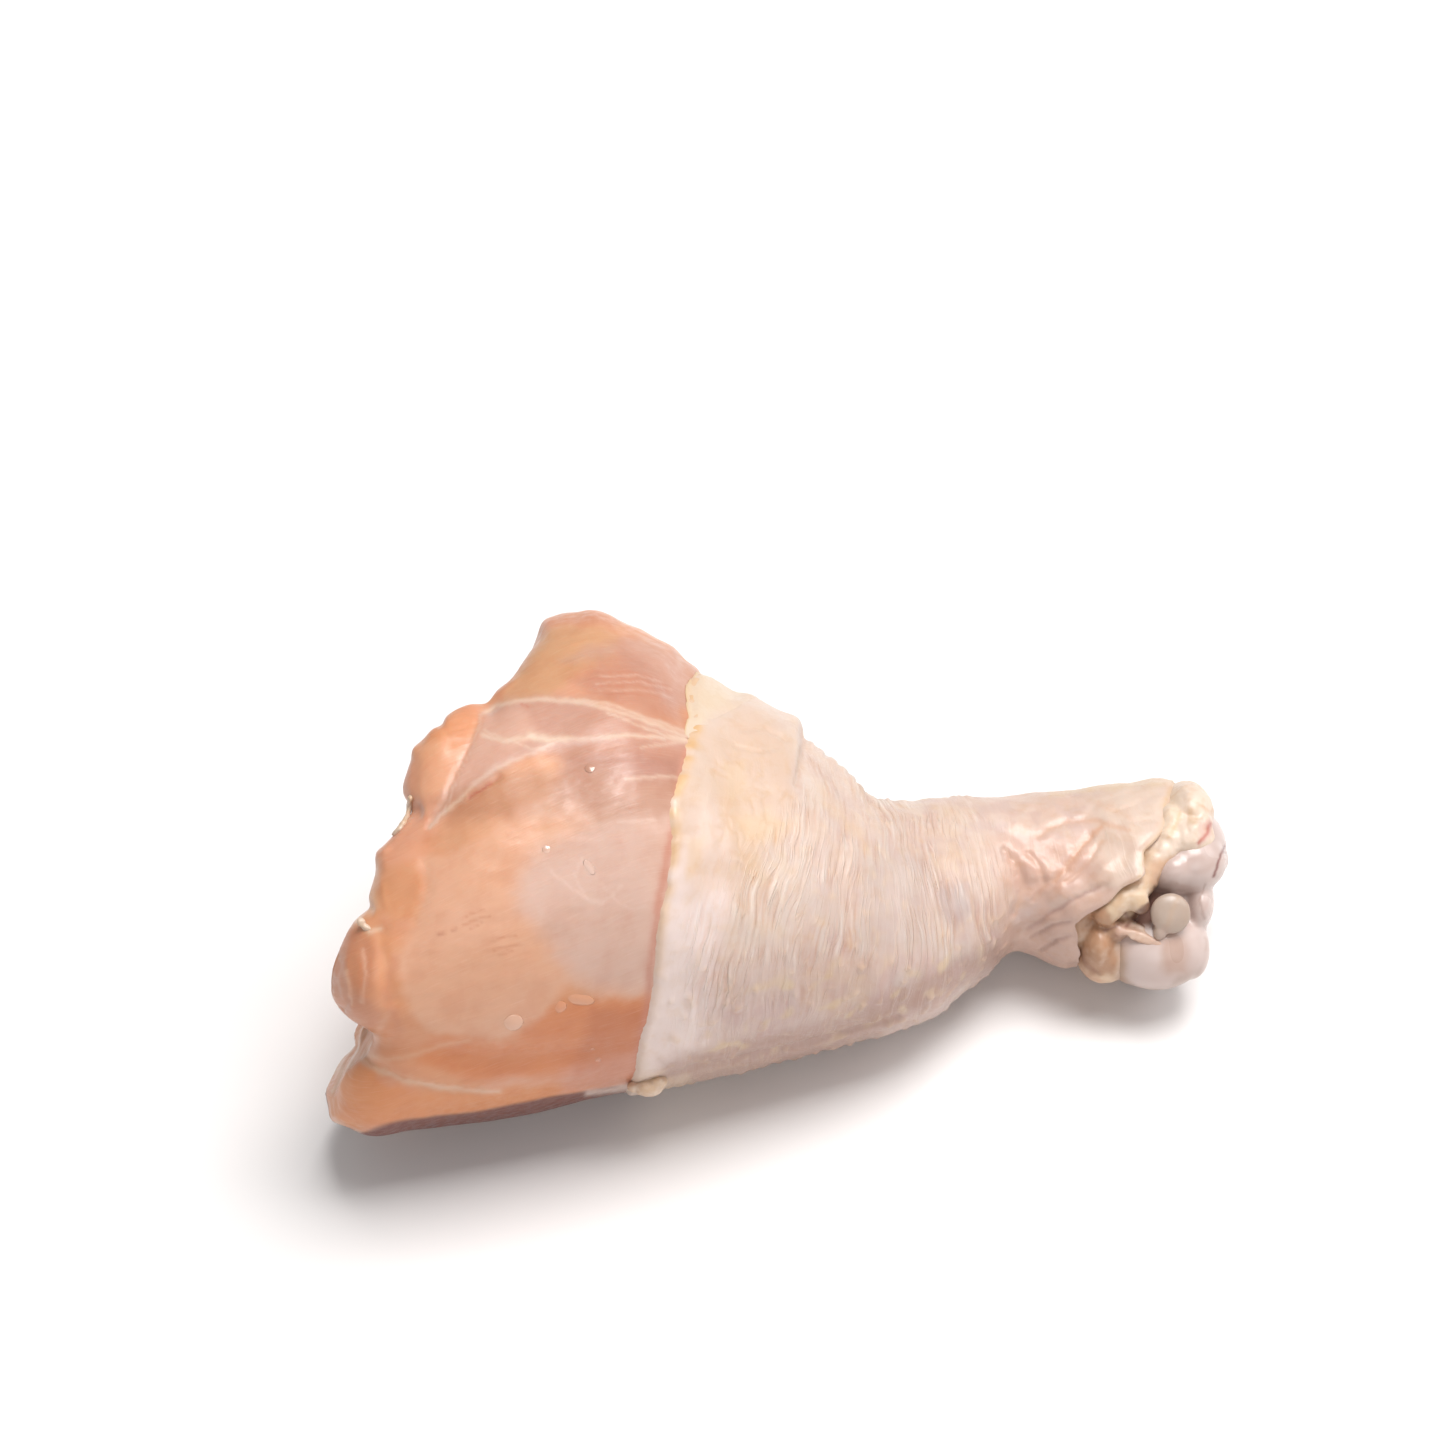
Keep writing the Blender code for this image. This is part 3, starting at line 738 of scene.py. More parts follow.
def tissue_material():
    """Crumbly fat and torn sinew at the ankle."""
    shader = Shader(
        "ankle_tissue",
        subsurface_weight=0.08,
        subsurface_radius=(1.0, 0.6, 0.4),
        subsurface_scale=0.0012,
        coat_weight=0.07,
        coat_roughness=0.35,
    )
    place = shader.place()
    clouds = shader.noise(place, 620.0, 4.0, 0.6)
    fine = shader.noise(place, 1800.0, 2.0, 0.5)
    cloudy = shader.ramp(clouds, 0.0, 0.6, 0.48, 0.66)
    colour = shader.blend(shader.attribute("tint"), (0.95, 0.87, 0.79), cloudy, "MULTIPLY")
    return shader.finish(colour, shader.ramp(fine, 0.32, 0.46), shader.bump(clouds, 0.35, 0.00018))


def fat_material(name, first, second, amount, scale, roughness):
    """Fat: clouds of a second colour over a wet translucent body. The first colour may be the mesh's tint."""
    shader = Shader(
        name,
        subsurface_weight=0.06,
        subsurface_radius=(1.0, 0.6, 0.4),
        subsurface_scale=0.0012,
        coat_weight=0.15,
        coat_roughness=0.15,
    )
    place = shader.place()
    clouds = shader.noise(place, scale, 5.0, 0.6)
    fine = shader.noise(place, scale * 4.0, 3.0, 0.6)
    own = srgb(*first) * SKIN_TONE if first else shader.attribute("tint")
    colour = shader.blend(own, srgb(*second) * SKIN_TONE, shader.ramp(clouds, 0.0, amount, 0.38, 0.64))
    rough = shader.ramp(fine, roughness - 0.07, roughness + 0.07)
    return shader.finish(colour, rough, shader.bump(fine, 0.4, 0.00015))


# ---------------------------------------------------------------- the flesh

FLESH_COLUMNS = 560
FLESH_FRONT = 0.68  # the share of the columns on the side that faces the viewer
CUT_ROWS = 36
CUT_REACH = 28  # how far the cut's middle lies from its rim on the scale of x
ROUNDING_ROWS = 30
SIDE_ROWS = 92
TUCK_ROWS = 6
TUCK_LENGTH = 5.0
TUCK_FLOOR = 0.2  # the least height of the flesh under the skin
FLESH_REACH = 1.4  # how far the flesh goes on under the skin before it dips

ORANGE = (230, 162, 118)
DEEP_ORANGE = (226, 152, 106)
BROWN_ORANGE = (212, 140, 102)
PINK = (232, 174, 150)
PALE_LILAC = (234, 200, 188)
CREAM = (246, 222, 198)
RED = (196, 106, 84)
# A dark mauve, painted on the flesh's underside as its shade.
UNDERSIDE_SHADE = (112, 50, 40)

# In the tables of patches, lines and pressed lines, the first numbers are the x and y of pixels of the
# photograph. Patches: outline, softness, colour, amount. Lines: line, half width, colour, amount.
# Pressed lines: line, half width, height in units.
FLESH_PATCHES = (
    # Painted sheen: a paler, milky patch on the dome's top that stands for a reflection.
    ((539, 631, 562, 626, 601, 626, 618, 634, 612, 660, 580, 668, 550, 700, 500, 702, 515, 680, 524, 660), 14,
     (218, 164, 122), 0.85),
    ((545, 600, 620, 600, 626, 622, 616, 630, 601, 624, 562, 624, 545, 631, 530, 655, 500, 700, 490, 690), 8,
     BROWN_ORANGE, 0.65),
    # Painted sheen: a duller pink patch on the dome's right that stands for a reflection, toned down.
    ((560, 661, 588, 648, 613, 640, 640, 637, 690, 650, 720, 700, 694, 712, 660, 700, 640, 676, 612, 655, 585, 660),
     16, (202, 156, 138), 0.65),
    ((600, 655, 640, 660, 680, 690, 692, 730, 640, 716, 590, 698, 575, 680), 26, (196, 140, 118), 0.75),
    ((483, 712, 476, 733, 465, 756, 453, 779, 440, 800, 430, 827, 453, 806, 473, 788, 499, 771, 524, 759, 550, 752,
     600, 748, 690, 752, 692, 735, 640, 714, 600, 702, 565, 695, 537, 696, 509, 700), 16, (202, 156, 140), 0.75),
    ((483, 712, 476, 733, 465, 756, 453, 779, 440, 800, 432, 824, 453, 800, 499, 765, 540, 735, 520, 705), 18,
     (230, 182, 160), 0.75),
    ((550, 752, 600, 748, 700, 748, 700, 800, 640, 790, 600, 776, 570, 762), 26, (196, 142, 122), 0.6),
    ((430, 850, 440, 826, 475, 797, 505, 778, 540, 764, 575, 757, 625, 764, 600, 782, 562, 790, 534, 798, 514, 811,
     483, 833, 450, 850), 20, (232, 176, 140), 0.6),
    # Painted sheen: the paler patch over the belly stands for the reflection of a large softbox in front.
    ((422, 858, 447, 853, 483, 833, 514, 812, 534, 799, 562, 791, 600, 785, 640, 790, 700, 800, 680, 1000, 649, 997,
     623, 999, 598, 999, 584, 989, 573, 983, 559, 996, 545, 1013, 528, 1030, 500, 1041, 477, 1036, 455, 1035,
     432, 1033, 413, 1018, 401, 985, 396, 957, 413, 923, 421, 900, 424, 867), 14, (236, 182, 150), 0.75),
    # Painted shade: darkens the slope under the pale band, where the key light falls and glints strongly.
    ((560, 752, 640, 748, 700, 756, 700, 815, 640, 812, 590, 812, 556, 800), 26, (180, 128, 111), 0.65),
    # Pale lilac film on the belly's right side, with painted sheen over it.
    ((625, 800, 580, 826, 550, 842, 530, 856, 520, 870, 516, 890, 522, 910, 540, 930, 556, 955, 573, 975, 600, 990,
     700, 1000, 720, 800), 34, (222, 188, 174), 0.75),
    # Painted shade: darkens the shoulder's upward-facing top, which the key light lights strongly.
    ((430, 800, 500, 772, 600, 774, 690, 780, 690, 812, 600, 822, 520, 818, 450, 822), 22, (190, 134, 102), 0.6),
    ((412, 745, 450, 738, 448, 790, 418, 800), 12, (238, 180, 144), 0.5),
    ((387, 864, 417, 862, 423, 876, 424, 896, 418, 919, 404, 922, 394, 924, 382, 909, 381, 883), 14, (226, 158, 112),
     0.75),
    # Painted highlight: a cream streak along the flesh's left rim.
    ((366, 862, 382, 858, 380, 885, 380, 908, 370, 915, 364, 890), 8, (242, 196, 160), 0.55),
    ((318, 935, 360, 925, 380, 950, 372, 990, 380, 1020, 372, 1050, 340, 1060, 318, 1040), 18, (206, 138, 104), 0.65),
    ((330, 1080, 360, 1062, 390, 1085, 440, 1096, 600, 1080, 600, 1098, 380, 1126, 330, 1132), 12, (232, 148, 86),
     0.85),
    ((432, 1036, 500, 1044, 545, 1016, 560, 998, 600, 1002, 650, 1000, 640, 1060, 560, 1078, 470, 1078, 420, 1060),
     16, (224, 136, 80), 0.85),
    ((590, 1010, 650, 1004, 642, 1080, 570, 1086), 18, (206, 122, 76), 0.75),
    ((560, 1070, 640, 1050, 640, 1090, 560, 1096), 16, (222, 158, 134), 0.6),
)
# Where the dark painted shade of the underside begins: x and angle.
UNDERSIDE = (-5, 129, 0, 125, 4, 112, 12, 111.5, 19, 113.5, 26, 113.5, 32.5, 114.5, 37, 117, 60, 117)
UNDERSIDE_WIDTH = 30  # in degrees
FLESH_LINES = (
    ((486, 712, 496, 705, 524, 701, 544, 699, 575, 701, 608, 708, 639, 719, 664, 728, 688, 738), 2.6, CREAM, 0.5),
    ((575, 699, 613, 704, 645, 717, 690, 733), 1.6, CREAM, 0.4),
    ((608, 713, 640, 726, 670, 736, 688, 741), 1.4, CREAM, 0.4),
    ((483, 735, 504, 741, 532, 737, 550, 739, 588, 739, 626, 735, 657, 737, 688, 741), 2.4, CREAM, 0.5),
    ((530, 736, 545, 739, 565, 739), 4.2, CREAM, 0.5),
    ((430, 827, 440, 815, 458, 801, 476, 783, 493, 770, 514, 760, 537, 752, 552, 743), 2.2, CREAM, 0.42),
    ((476, 783, 500, 764, 530, 751, 560, 744, 600, 741), 4.5, PALE_LILAC, 0.35),
    ((483, 712, 473, 743, 459, 774, 448, 802, 436, 822), 1.2, (238, 200, 180), 0.4),
    ((484, 730, 530, 748, 545, 750), 1.2, CREAM, 0.3),
    ((356, 1056, 376, 1070, 404, 1082, 438, 1089, 470, 1092, 500, 1092), 2.6, CREAM, 0.42),
    ((362, 1054, 387, 1060, 413, 1055, 438, 1046, 470, 1040), 2.6, (238, 196, 164), 0.35),
    ((551, 871, 565, 883, 588, 900, 601, 903, 612, 896, 620, 886), 1.8, (246, 218, 204), 0.3),
    ((588, 900, 580, 888, 575, 873, 583, 858), 1.5, (246, 218, 204), 0.25),
    ((601, 883, 621, 904, 634, 909, 646, 905), 1.5, (246, 218, 204), 0.22),
    ((618, 822, 635, 821, 655, 820), 1.8, (246, 218, 204), 0.3),
    ((626, 779, 655, 777, 687, 778), 1.8, CREAM, 0.35),
    ((640, 748, 668, 744, 690, 742), 1.6, CREAM, 0.3),
    ((588, 673, 625, 671, 660, 679), 1.0, (200, 116, 88), 0.28),
    ((590, 679, 630, 678, 668, 686), 1.0, (204, 120, 92), 0.3),
    ((594, 686, 634, 685, 674, 692), 1.0, (200, 116, 88), 0.28),
    ((590, 693, 630, 693, 668, 700), 1.0, (204, 120, 92), 0.28),
    ((600, 676, 640, 675, 664, 683), 1.0, (246, 214, 196), 0.25),
    ((596, 683, 640, 682, 672, 689), 1.0, (246, 214, 196), 0.25),
    ((600, 690, 640, 690, 676, 697), 1.0, (246, 214, 196), 0.22),
    ((470, 797, 478, 792, 490, 783), 1.5, RED, 0.75),
    ((482, 790, 493, 781, 502, 776), 1.3, (206, 128, 104), 0.5),
    ((520, 704, 528, 707), 1.2, (206, 120, 100), 0.5),
    ((357, 917, 362, 926, 370, 931, 380, 928), 2.6, (248, 220, 194), 0.6),
    ((345, 932, 354, 922, 362, 915), 2.0, (246, 210, 182), 0.4),
    ((365, 943, 368, 968, 365, 986), 4.0, (206, 136, 104), 0.3),
    ((372, 1050, 379, 1030, 392, 1010), 3.0, (240, 190, 160), 0.35),
    ((347, 972, 350, 984, 352, 1004), 2.4, (246, 204, 176), 0.45),
    ((337, 960, 334, 984, 340, 1010), 3.0, (214, 142, 104), 0.35),
    ((362, 950, 366, 975, 362, 1002), 2.0, (244, 206, 182), 0.35),
    ((356, 1034, 351, 1052, 353, 1060), 3.0, (246, 222, 208), 0.7),
    ((395, 960, 386, 990, 392, 1010, 400, 1030), 5.0, (214, 140, 104), 0.45),
    ((334, 1119, 345, 1128, 360, 1133), 2.6, (244, 214, 198), 0.6),
    ((460, 919, 472, 914, 484, 910), 1.3, BROWN_ORANGE, 0.5),
    ((463, 925, 478, 919, 490, 916), 1.2, BROWN_ORANGE, 0.5),
    ((470, 929, 484, 922), 1.1, BROWN_ORANGE, 0.45),
    ((492, 941, 505, 937, 516, 936), 1.4, BROWN_ORANGE, 0.5),
    ((495, 950, 508, 947, 521, 944), 1.6, BROWN_ORANGE, 0.5),
    ((498, 956, 512, 951), 1.2, BROWN_ORANGE, 0.4),
    ((438, 934, 443, 933), 1.8, (190, 120, 90), 0.6),
    ((452, 931, 456, 930), 1.4, (196, 126, 94), 0.5),
    ((676, 822, 669, 850, 663, 885, 658, 905, 654, 945, 650, 968, 648, 1000, 642, 1040, 634, 1078), 4.5,
     (206, 132, 108), 0.65),
    ((692, 735, 682, 765, 676, 795, 673, 822), 3.0, (226, 160, 134), 0.5),
    ((588, 1093, 605, 1092, 625, 1088, 640, 1084), 3.6, (240, 216, 204), 0.8),
)
FLESH_PRESSED = (
    ((480, 712, 470, 743, 456, 774, 444, 802, 428, 826), 3.0, -0.22),
    ((437, 722, 446, 730, 452, 742), 4.0, -0.12),
    ((422, 738, 415, 760, 416, 790, 420, 815), 4.0, -0.10),
    ((470, 797, 480, 790, 500, 777), 1.8, -0.25),
    ((410, 822, 396, 838, 384, 852), 3.0, 0.25),
    ((424, 862, 427, 880, 425, 900, 416, 920), 6.0, -0.16),
    ((386, 862, 382, 884, 386, 906), 4.0, 0.12),
    ((365, 940, 368, 968, 366, 990), 6.0, -0.12),
    ((337, 958, 334, 984, 340, 1012), 5.0, -0.22),
    ((350, 1000, 340, 1012, 332, 1016), 4.0, -0.25),
    ((346, 960, 348, 984, 352, 1006), 4.0, 0.16),
    ((352, 1040, 368, 1060, 390, 1074, 430, 1088, 480, 1092), 4.5, -0.35),
    ((384, 1000, 379, 1030, 372, 1052), 6.0, -0.15),
    ((380, 930, 384, 960, 392, 1000), 7.0, -0.25),
)


def flesh_rows(angle):
    """The flesh's rows of points, with the x of each, from the cut's middle to under the skin."""
    rim = knee_rim(angle)
    edge = skin_edge(angle)
    rows = []
    places = []
    first = point(rim, angle, flesh_lift(rim, angle, edge) - KNEE_INSET)
    for i in range(1, CUT_ROWS + 1):
        share = i / (CUT_ROWS + 1)
        ring = KNEE_CENTRE + (first - KNEE_CENTRE) * share
        ring[:, 0] -= cut_swell(share, angle)
        rows.append(ring)
        places.append(rim - CUT_REACH * (1 - share))
    stations = []
    for i in range(ROUNDING_ROWS):
        stations.append(rim + KNEE_ROUNDING * (1 - math.cos(math.pi / 2 * i / ROUNDING_ROWS)))
    for i in range(SIDE_ROWS + 1):
        stations.append(rim + KNEE_ROUNDING + (edge + FLESH_REACH - rim - KNEE_ROUNDING) * i / SIDE_ROWS)
    for x in stations:
        depth = np.clip(1 - (x - rim) / KNEE_ROUNDING, 0, 1)
        rounding = KNEE_INSET * (1 - np.sqrt(1 - depth**2.2))
        rows.append(point(x, angle, flesh_lift(x, angle, edge) - rounding))
        places.append(x)
    for i in range(1, TUCK_ROWS + 1):
        share = i / TUCK_ROWS
        x = edge + FLESH_REACH + TUCK_LENGTH * share
        deep = smooth_step(share * 2.2)
        lift = flesh_lift(x, angle, edge) * (1 - deep) + (skin_relief(x, angle) - SKIN_THICKNESS - 0.1) * deep
        rows.append(point(x, angle, lift, TUCK_FLOOR))
        places.append(x)
    return np.array(rows), np.array(places)


def make_flesh():
    angle = angles_around(FLESH_COLUMNS, FLESH_FRONT)
    points, x = flesh_rows(angle)
    angles = np.broadcast_to(angle, x.shape)
    cut = np.arange(len(points))[:, None] < CUT_ROWS
    world = pulled(to_world(points))
    pixels = photo_pixels(world)
    normal = grid_normals(world)
    facing = smooth_step(toward(normal) / 0.2)
    seen = facing * ~cut
    away = (1 - facing) * ~cut

    near = bell(skin_edge(angles) - x, 6.0)
    lift = flesh_waves(points) * (1 - near) + (skin_swell(points) - 0.04) * near
    lift = lift + pressed(pixels, seen, FLESH_PRESSED)
    side = smooth_step((angle_between(angles, 100) - 60) / 30)
    lift = lift + side * 0.5 * layered(points * (0.03, 0.2, 0.2), 3, 15)
    fans = layered(sheet(angles * 0.10, x * 0.10), 4, 9)
    points = points + normal * np.where(cut, 0.6 * fans, lift)[..., None]
    points[..., 2] = np.maximum(points[..., 2], 0.0)

    veil = smooth_step(0.5 + 2.5 * layered(points * (0.035, 0.07, 0.07), 3, 17))
    strands = veins(points * (0.02, 0.09, 0.09) + 0.5 * noise(points * 0.05, 4)[..., None], 9, 19)
    # The band of the underside, which is painted dark below as its shade.
    past = angles - curve_at(UNDERSIDE, x)
    under = smooth_step(past / 3.5) * (1 - smooth_step((past - UNDERSIDE_WIDTH) / 20)) * ~cut
    core = bell(x - knee_rim(angles) + 26, 9) * cut
    tint = glazed(
        plain_tint(ORANGE, x.shape),
        DEEP_ORANGE, 0.8 * smooth_step(0.4 + 1.3 * layered(points * 0.06, 3, 11)),
        PINK, 0.5 * smooth_step(0.3 + 1.6 * layered(points * (0.05, 0.08, 0.08), 3, 13)),
        PALE_LILAC, 0.6 * veil * away,
        CREAM, 0.6 * strands * away,
    )
    tint = glazed(painted(tint, pixels, seen, FLESH_PATCHES, ()), UNDERSIDE_SHADE, 0.95 * under)
    tint = glazed(
        painted(tint, pixels, seen, (), FLESH_LINES),
        (184, 96, 78), 0.6 * core,
        CREAM, 0.5 * cut * veins(points * (0.05, 0.16, 0.16), 8, 23),
    )

    world = pulled(to_world(points))
    mesh = grid_mesh("flesh_skinned", world, pulled(to_world(KNEE_CENTRE + (-2, 0, 0))))
    item = finished("flesh_skinned", mesh, flesh_material())
    set_colour(item, "tint", tint)
    thick = 0.3 * (1 - smooth_step((x - skin_edge(angles) + 5) / 4))
    set_colour(item, "thick", thick[..., None], 1.0)
    arc = np.radians(angles) * bare_radius(x, angles)
    grain = np.where(cut[..., None], sheet(angles * 0.25, x * 4), sheet(arc + 0.25 * x, x))
    set_vector(item, "grain", grain)
    dress(item, "flesh")
    return world, normal, seen, tint


# ---------------------------------------------------------------- the skin

SKIN_COLUMNS = 350
SKIN_FRONT = 0.66
SKIN_ROWS = 262
LIP_ROWS = 5
LIP_FLOOR = 0.3  # the least height of the skin's turned edges
# The ragged end of the skin at the ankle: angle and x.
SKIN_END = (
    -180, 115, -150, 118, -120, 122.5, -90, 126.5, -60, 129.5, -40, 130.3, -24, 129.6, -14, 128.3, -5, 127.0,
    16, 125.0, 24, 123.0, 28, 121.8, 37, 120.8, 46, 120.0, 50, 118.0, 56, 116.3, 60, 115.2, 66, 113, 72, 111,
    85, 110.6, 99, 111, 120, 111.5, 150, 113, 180, 115,
)

SKIN_CREAM = (252, 228, 208)
SKIN_YELLOW = (253, 222, 182)
SKIN_LILAC = (228, 202, 192)
SKIN_PINK = (250, 222, 204)
SKIN_WHITE = (250, 238, 226)
CREASE_PINK = (242, 186, 148)

SKIN_PATCHES = (
    # Painted light: lightens the skin's left flank, which faces down and away from the lamps.
    ((690, 810, 720, 800, 735, 860, 720, 960, 712, 1040, 690, 1070, 650, 1075, 640, 1050, 655, 950, 664, 880), 22,
     (270, 254, 248), 0.85),
    ((712, 775, 735, 790, 752, 830, 768, 880, 752, 885, 735, 850, 718, 810), 14, (252, 220, 180), 0.5),
    ((795, 975, 830, 965, 868, 975, 872, 1000, 838, 1012, 800, 1005), 20, (248, 216, 186), 0.5),
    ((700, 1010, 760, 1000, 840, 1000, 820, 1040, 720, 1062), 24, (232, 204, 200), 0.4),
    ((700, 735, 760, 715, 796, 740, 790, 800, 740, 880, 690, 900, 676, 830), 30, (246, 216, 190), 0.6),
    ((737, 818, 765, 812, 796, 822, 780, 842, 745, 840), 12, SKIN_YELLOW, 0.6),
    ((725, 765, 745, 760, 750, 785, 730, 800), 12, SKIN_YELLOW, 0.45),
    ((690, 840, 705, 835, 700, 870, 686, 880), 10, SKIN_YELLOW, 0.45),
    # Lilac-pink of the lower skin, lightened as painted light where it faces down.
    ((693, 953, 760, 950, 825, 975, 800, 1020, 730, 1027, 690, 1000), 30, (242, 218, 210), 0.45),
    ((937, 889, 965, 885, 972, 910, 955, 926, 938, 915), 18, (200, 186, 186), 0.5),
    ((860, 850, 930, 850, 930, 950, 860, 950), 28, (222, 206, 198), 0.45),
    ((800, 870, 830, 850, 850, 900, 830, 930, 806, 920), 20, (230, 210, 200), 0.35),
    ((875, 830, 900, 820, 905, 860, 885, 880), 16, (230, 212, 204), 0.3),
    ((800, 960, 880, 950, 880, 1010, 820, 1025), 24, (236, 208, 190), 0.5),
    # Painted shade: a darker band along the skin's lower edge, where it turns under.
    ((660, 1060, 830, 1020, 1000, 940, 1010, 960, 830, 1060, 660, 1095), 20, (202, 166, 150), 0.8),
    ((1000, 836, 1060, 838, 1120, 828, 1140, 848, 1100, 880, 1040, 902, 1005, 884), 22, (240, 198, 178), 0.7),
    ((1100, 775, 1176, 772, 1168, 800, 1166, 830, 1148, 848, 1142, 878, 1110, 890, 1090, 850, 1095, 800), 26,
     (254, 234, 214), 0.7),
    # Painted shade on the underside of the ankle's skin.
    ((1005, 925, 1060, 905, 1120, 885, 1112, 905, 1080, 925, 1080, 970, 1000, 960), 8, (234, 198, 180), 0.7),
    ((1090, 775, 1178, 768, 1174, 784, 1130, 788, 1090, 792), 6, (252, 224, 180), 0.45),
    ((1050, 793, 1095, 784, 1095, 791, 1050, 798), 4, (246, 214, 160), 0.45),
    ((650, 1080, 690, 1074, 690, 1092, 650, 1096), 8, (246, 224, 196), 0.6),
)
VEINED = (705, 750, 790, 745, 800, 800, 776, 880, 735, 876, 705, 840)
SPOTTED = (690, 1010, 800, 965, 900, 960, 1000, 925, 960, 990, 830, 1040, 700, 1065)
SKIN_LINES = (
    ((1039, 836, 1053, 827, 1067, 822, 1085, 820, 1098, 821, 1114, 826, 1128, 830), 3.0, CREASE_PINK, 0.42),
    ((1055, 881, 1062, 872, 1072, 860, 1080, 847, 1090, 837, 1101, 827), 3.4, CREASE_PINK, 0.65),
    ((1066, 882, 1078, 872, 1090, 860, 1097, 847, 1102, 842), 2.2, CREASE_PINK, 0.3),
    ((1100, 805, 1115, 812, 1128, 815), 4.0, (248, 208, 176), 0.35),
    ((1005, 851, 1019, 866, 1023, 890, 1015, 914), 3.5, CREASE_PINK, 0.3),
    ((1027, 852, 1040, 866, 1044, 884, 1034, 900), 2.4, CREASE_PINK, 0.25),
    ((1058, 890, 1070, 872, 1078, 857), 2.4, CREASE_PINK, 0.3),
    # Painted shade in the crease on the roll's right side.
    ((801, 732, 803, 744, 802, 757, 799, 776), 2.2, (232, 186, 156), 0.5),
    ((1027, 930, 1051, 914, 1076, 898, 1100, 887), 2.0, (206, 168, 158), 0.6),
    ((1030, 938, 1052, 926, 1070, 922), 1.6, (200, 168, 160), 0.5),
    ((1040, 950, 1056, 940, 1072, 936), 1.6, (200, 168, 160), 0.5),
    ((1176, 779, 1170, 790, 1166, 800, 1164, 827, 1152, 842, 1145, 850, 1140, 876), 2.4, (244, 214, 168), 0.6),
    ((1138, 878, 1124, 886, 1113, 900, 1098, 912, 1084, 922, 1081, 945), 2.0, (232, 200, 168), 0.5),
)
SKIN_PRESSED = (
    ((674, 1076, 699, 1066, 729, 1062, 762, 1053, 792, 1047, 822, 1039, 849, 1032, 900, 1017), 2.6, -0.45),
    ((690, 1058, 740, 1046, 790, 1034), 3.0, -0.2),
    ((1039, 836, 1053, 827, 1067, 822, 1085, 820, 1098, 821), 4.0, -0.18),
    ((1055, 881, 1062, 872, 1072, 860, 1080, 847, 1090, 837), 4.0, -0.2),
    ((1005, 851, 1019, 866, 1023, 890, 1015, 914), 5.0, -0.45),
    ((1027, 852, 1040, 866, 1044, 884, 1034, 900), 3.0, -0.28),
    ((1051, 876, 1056, 872), 6.0, 0.28),
    ((1035, 897, 1042, 890), 6.0, 0.28),
    ((1053, 898, 1062, 890), 5.0, 0.25),
    ((1094, 882, 1104, 870), 6.0, 0.28),
    ((1066, 882, 1078, 872, 1090, 860, 1097, 847), 2.8, -0.18),
    ((1022, 934, 1051, 914, 1076, 898, 1105, 886), 4.0, -0.35),
    ((1030, 938, 1052, 926, 1070, 922), 2.4, -0.28),
    ((1040, 950, 1056, 940, 1072, 936), 2.4, -0.28),
    ((806, 738, 805, 752, 802, 768, 798, 784), 3.6, -0.5),
    ((796, 742, 794, 760, 788, 785), 6.0, 0.15),
    ((808, 741, 812, 743), 4.0, 0.5),
    ((820, 748, 822, 752), 4.0, 0.5),
    ((830, 759, 833, 763), 3.6, 0.5),
    ((842, 768, 845, 770), 4.0, 0.5),
    ((850, 778, 853, 780), 3.6, 0.45),
    ((860, 785, 862, 787), 3.6, 0.5),
    ((870, 792, 873, 794), 3.6, 0.45),
    ((884, 797, 888, 799), 4.0, 0.4),
    ((900, 800, 904, 801), 4.0, 0.3),
    ((812, 760, 815, 764), 3.0, 0.3),
    ((826, 776, 829, 780), 3.0, 0.3),
    ((842, 788, 845, 791), 3.0, 0.3),
    ((856, 800, 859, 803), 3.0, 0.25),
    ((735, 745, 760, 752, 780, 748), 2.0, -0.25),
    ((742, 730, 765, 728, 788, 740), 2.0, -0.25),
    ((708, 790, 712, 830, 706, 860), 8.0, 0.2),
)


def skin_end(angle):
    return curve_at(SKIN_END, angle_between(angle)) + 0.5 * noise(sheet(angle * 0.16), 8)


def grain_of(x, angle, points):
    """Coordinates across and along the skin's fine wrinkles, in units."""
    arc = np.radians(angle_between(angle, 45)) * (14 + 14 * (1 - smooth_step((x - 55) / 45)))
    lean = 0.46 - 0.48 * smooth_step((x - 60) / 38)
    warp = 1.2 * layered(points * (0.10, 0.07, 0.07), 3, 21) + 0.22 * noise(points * (0.3, 0.42, 0.42), 23)
    return x + lean * 15 * np.tanh(arc / 15) + warp, arc


def skin_detail(x, angle, points, across, arc):
    """Height of all the detail and of the wrinkles alone, the follicles, and how strong the wrinkles are."""
    low = smooth_step((angle_between(angle) - 20) / 30)
    start = smooth_step((x - skin_edge(angle) - 2 - 11 * (1 - low)) / 7)
    end = 1 - smooth_step((x - 97) / 8)
    patch = 0.25 + 0.75 * smooth_step(0.5 + 1.9 * layered(points * 0.14, 3, 31))
    under = smooth_step((angle_between(angle) - 78) / 16)
    strength = (0.05 + 0.95 * start) * (0.10 + 0.90 * end) * patch * (1 - 0.6 * under)
    wave = np.sin(2 * np.pi * (across / 1.18 + 0.7 * noise(sheet(across * 0.3, arc * 0.14), 33)))
    broken = noise(sheet(across / 0.85, arc / 9.0), 35)
    ridges = (0.06 * wave + 0.27 * broken + 0.10 * noise(sheet(across / 0.5, arc / 6.0), 37)) * strength
    follicles = smooth_step(2.6 * noise(points * 0.62, 61) - 0.35)
    knots = 0.34 * follicles * (0.10 + 0.90 * smooth_step((angle_between(angle) - 62) / 20)) * end
    ankle = smooth_step((x - 98) / 5)
    lumps = 0.16 * layered(points * 0.20, 3, 71) * ankle
    folds = -0.10 * veins(points * (0.10, 0.20, 0.20), 5, 81) * ankle
    pucker = 0.30 * noise(sheet(x * 0.25, arc / 1.6), 83) * bell(x - skin_edge(angle), 4.0)
    return ridges + knots + lumps + folds + pucker, ridges, follicles * end, strength


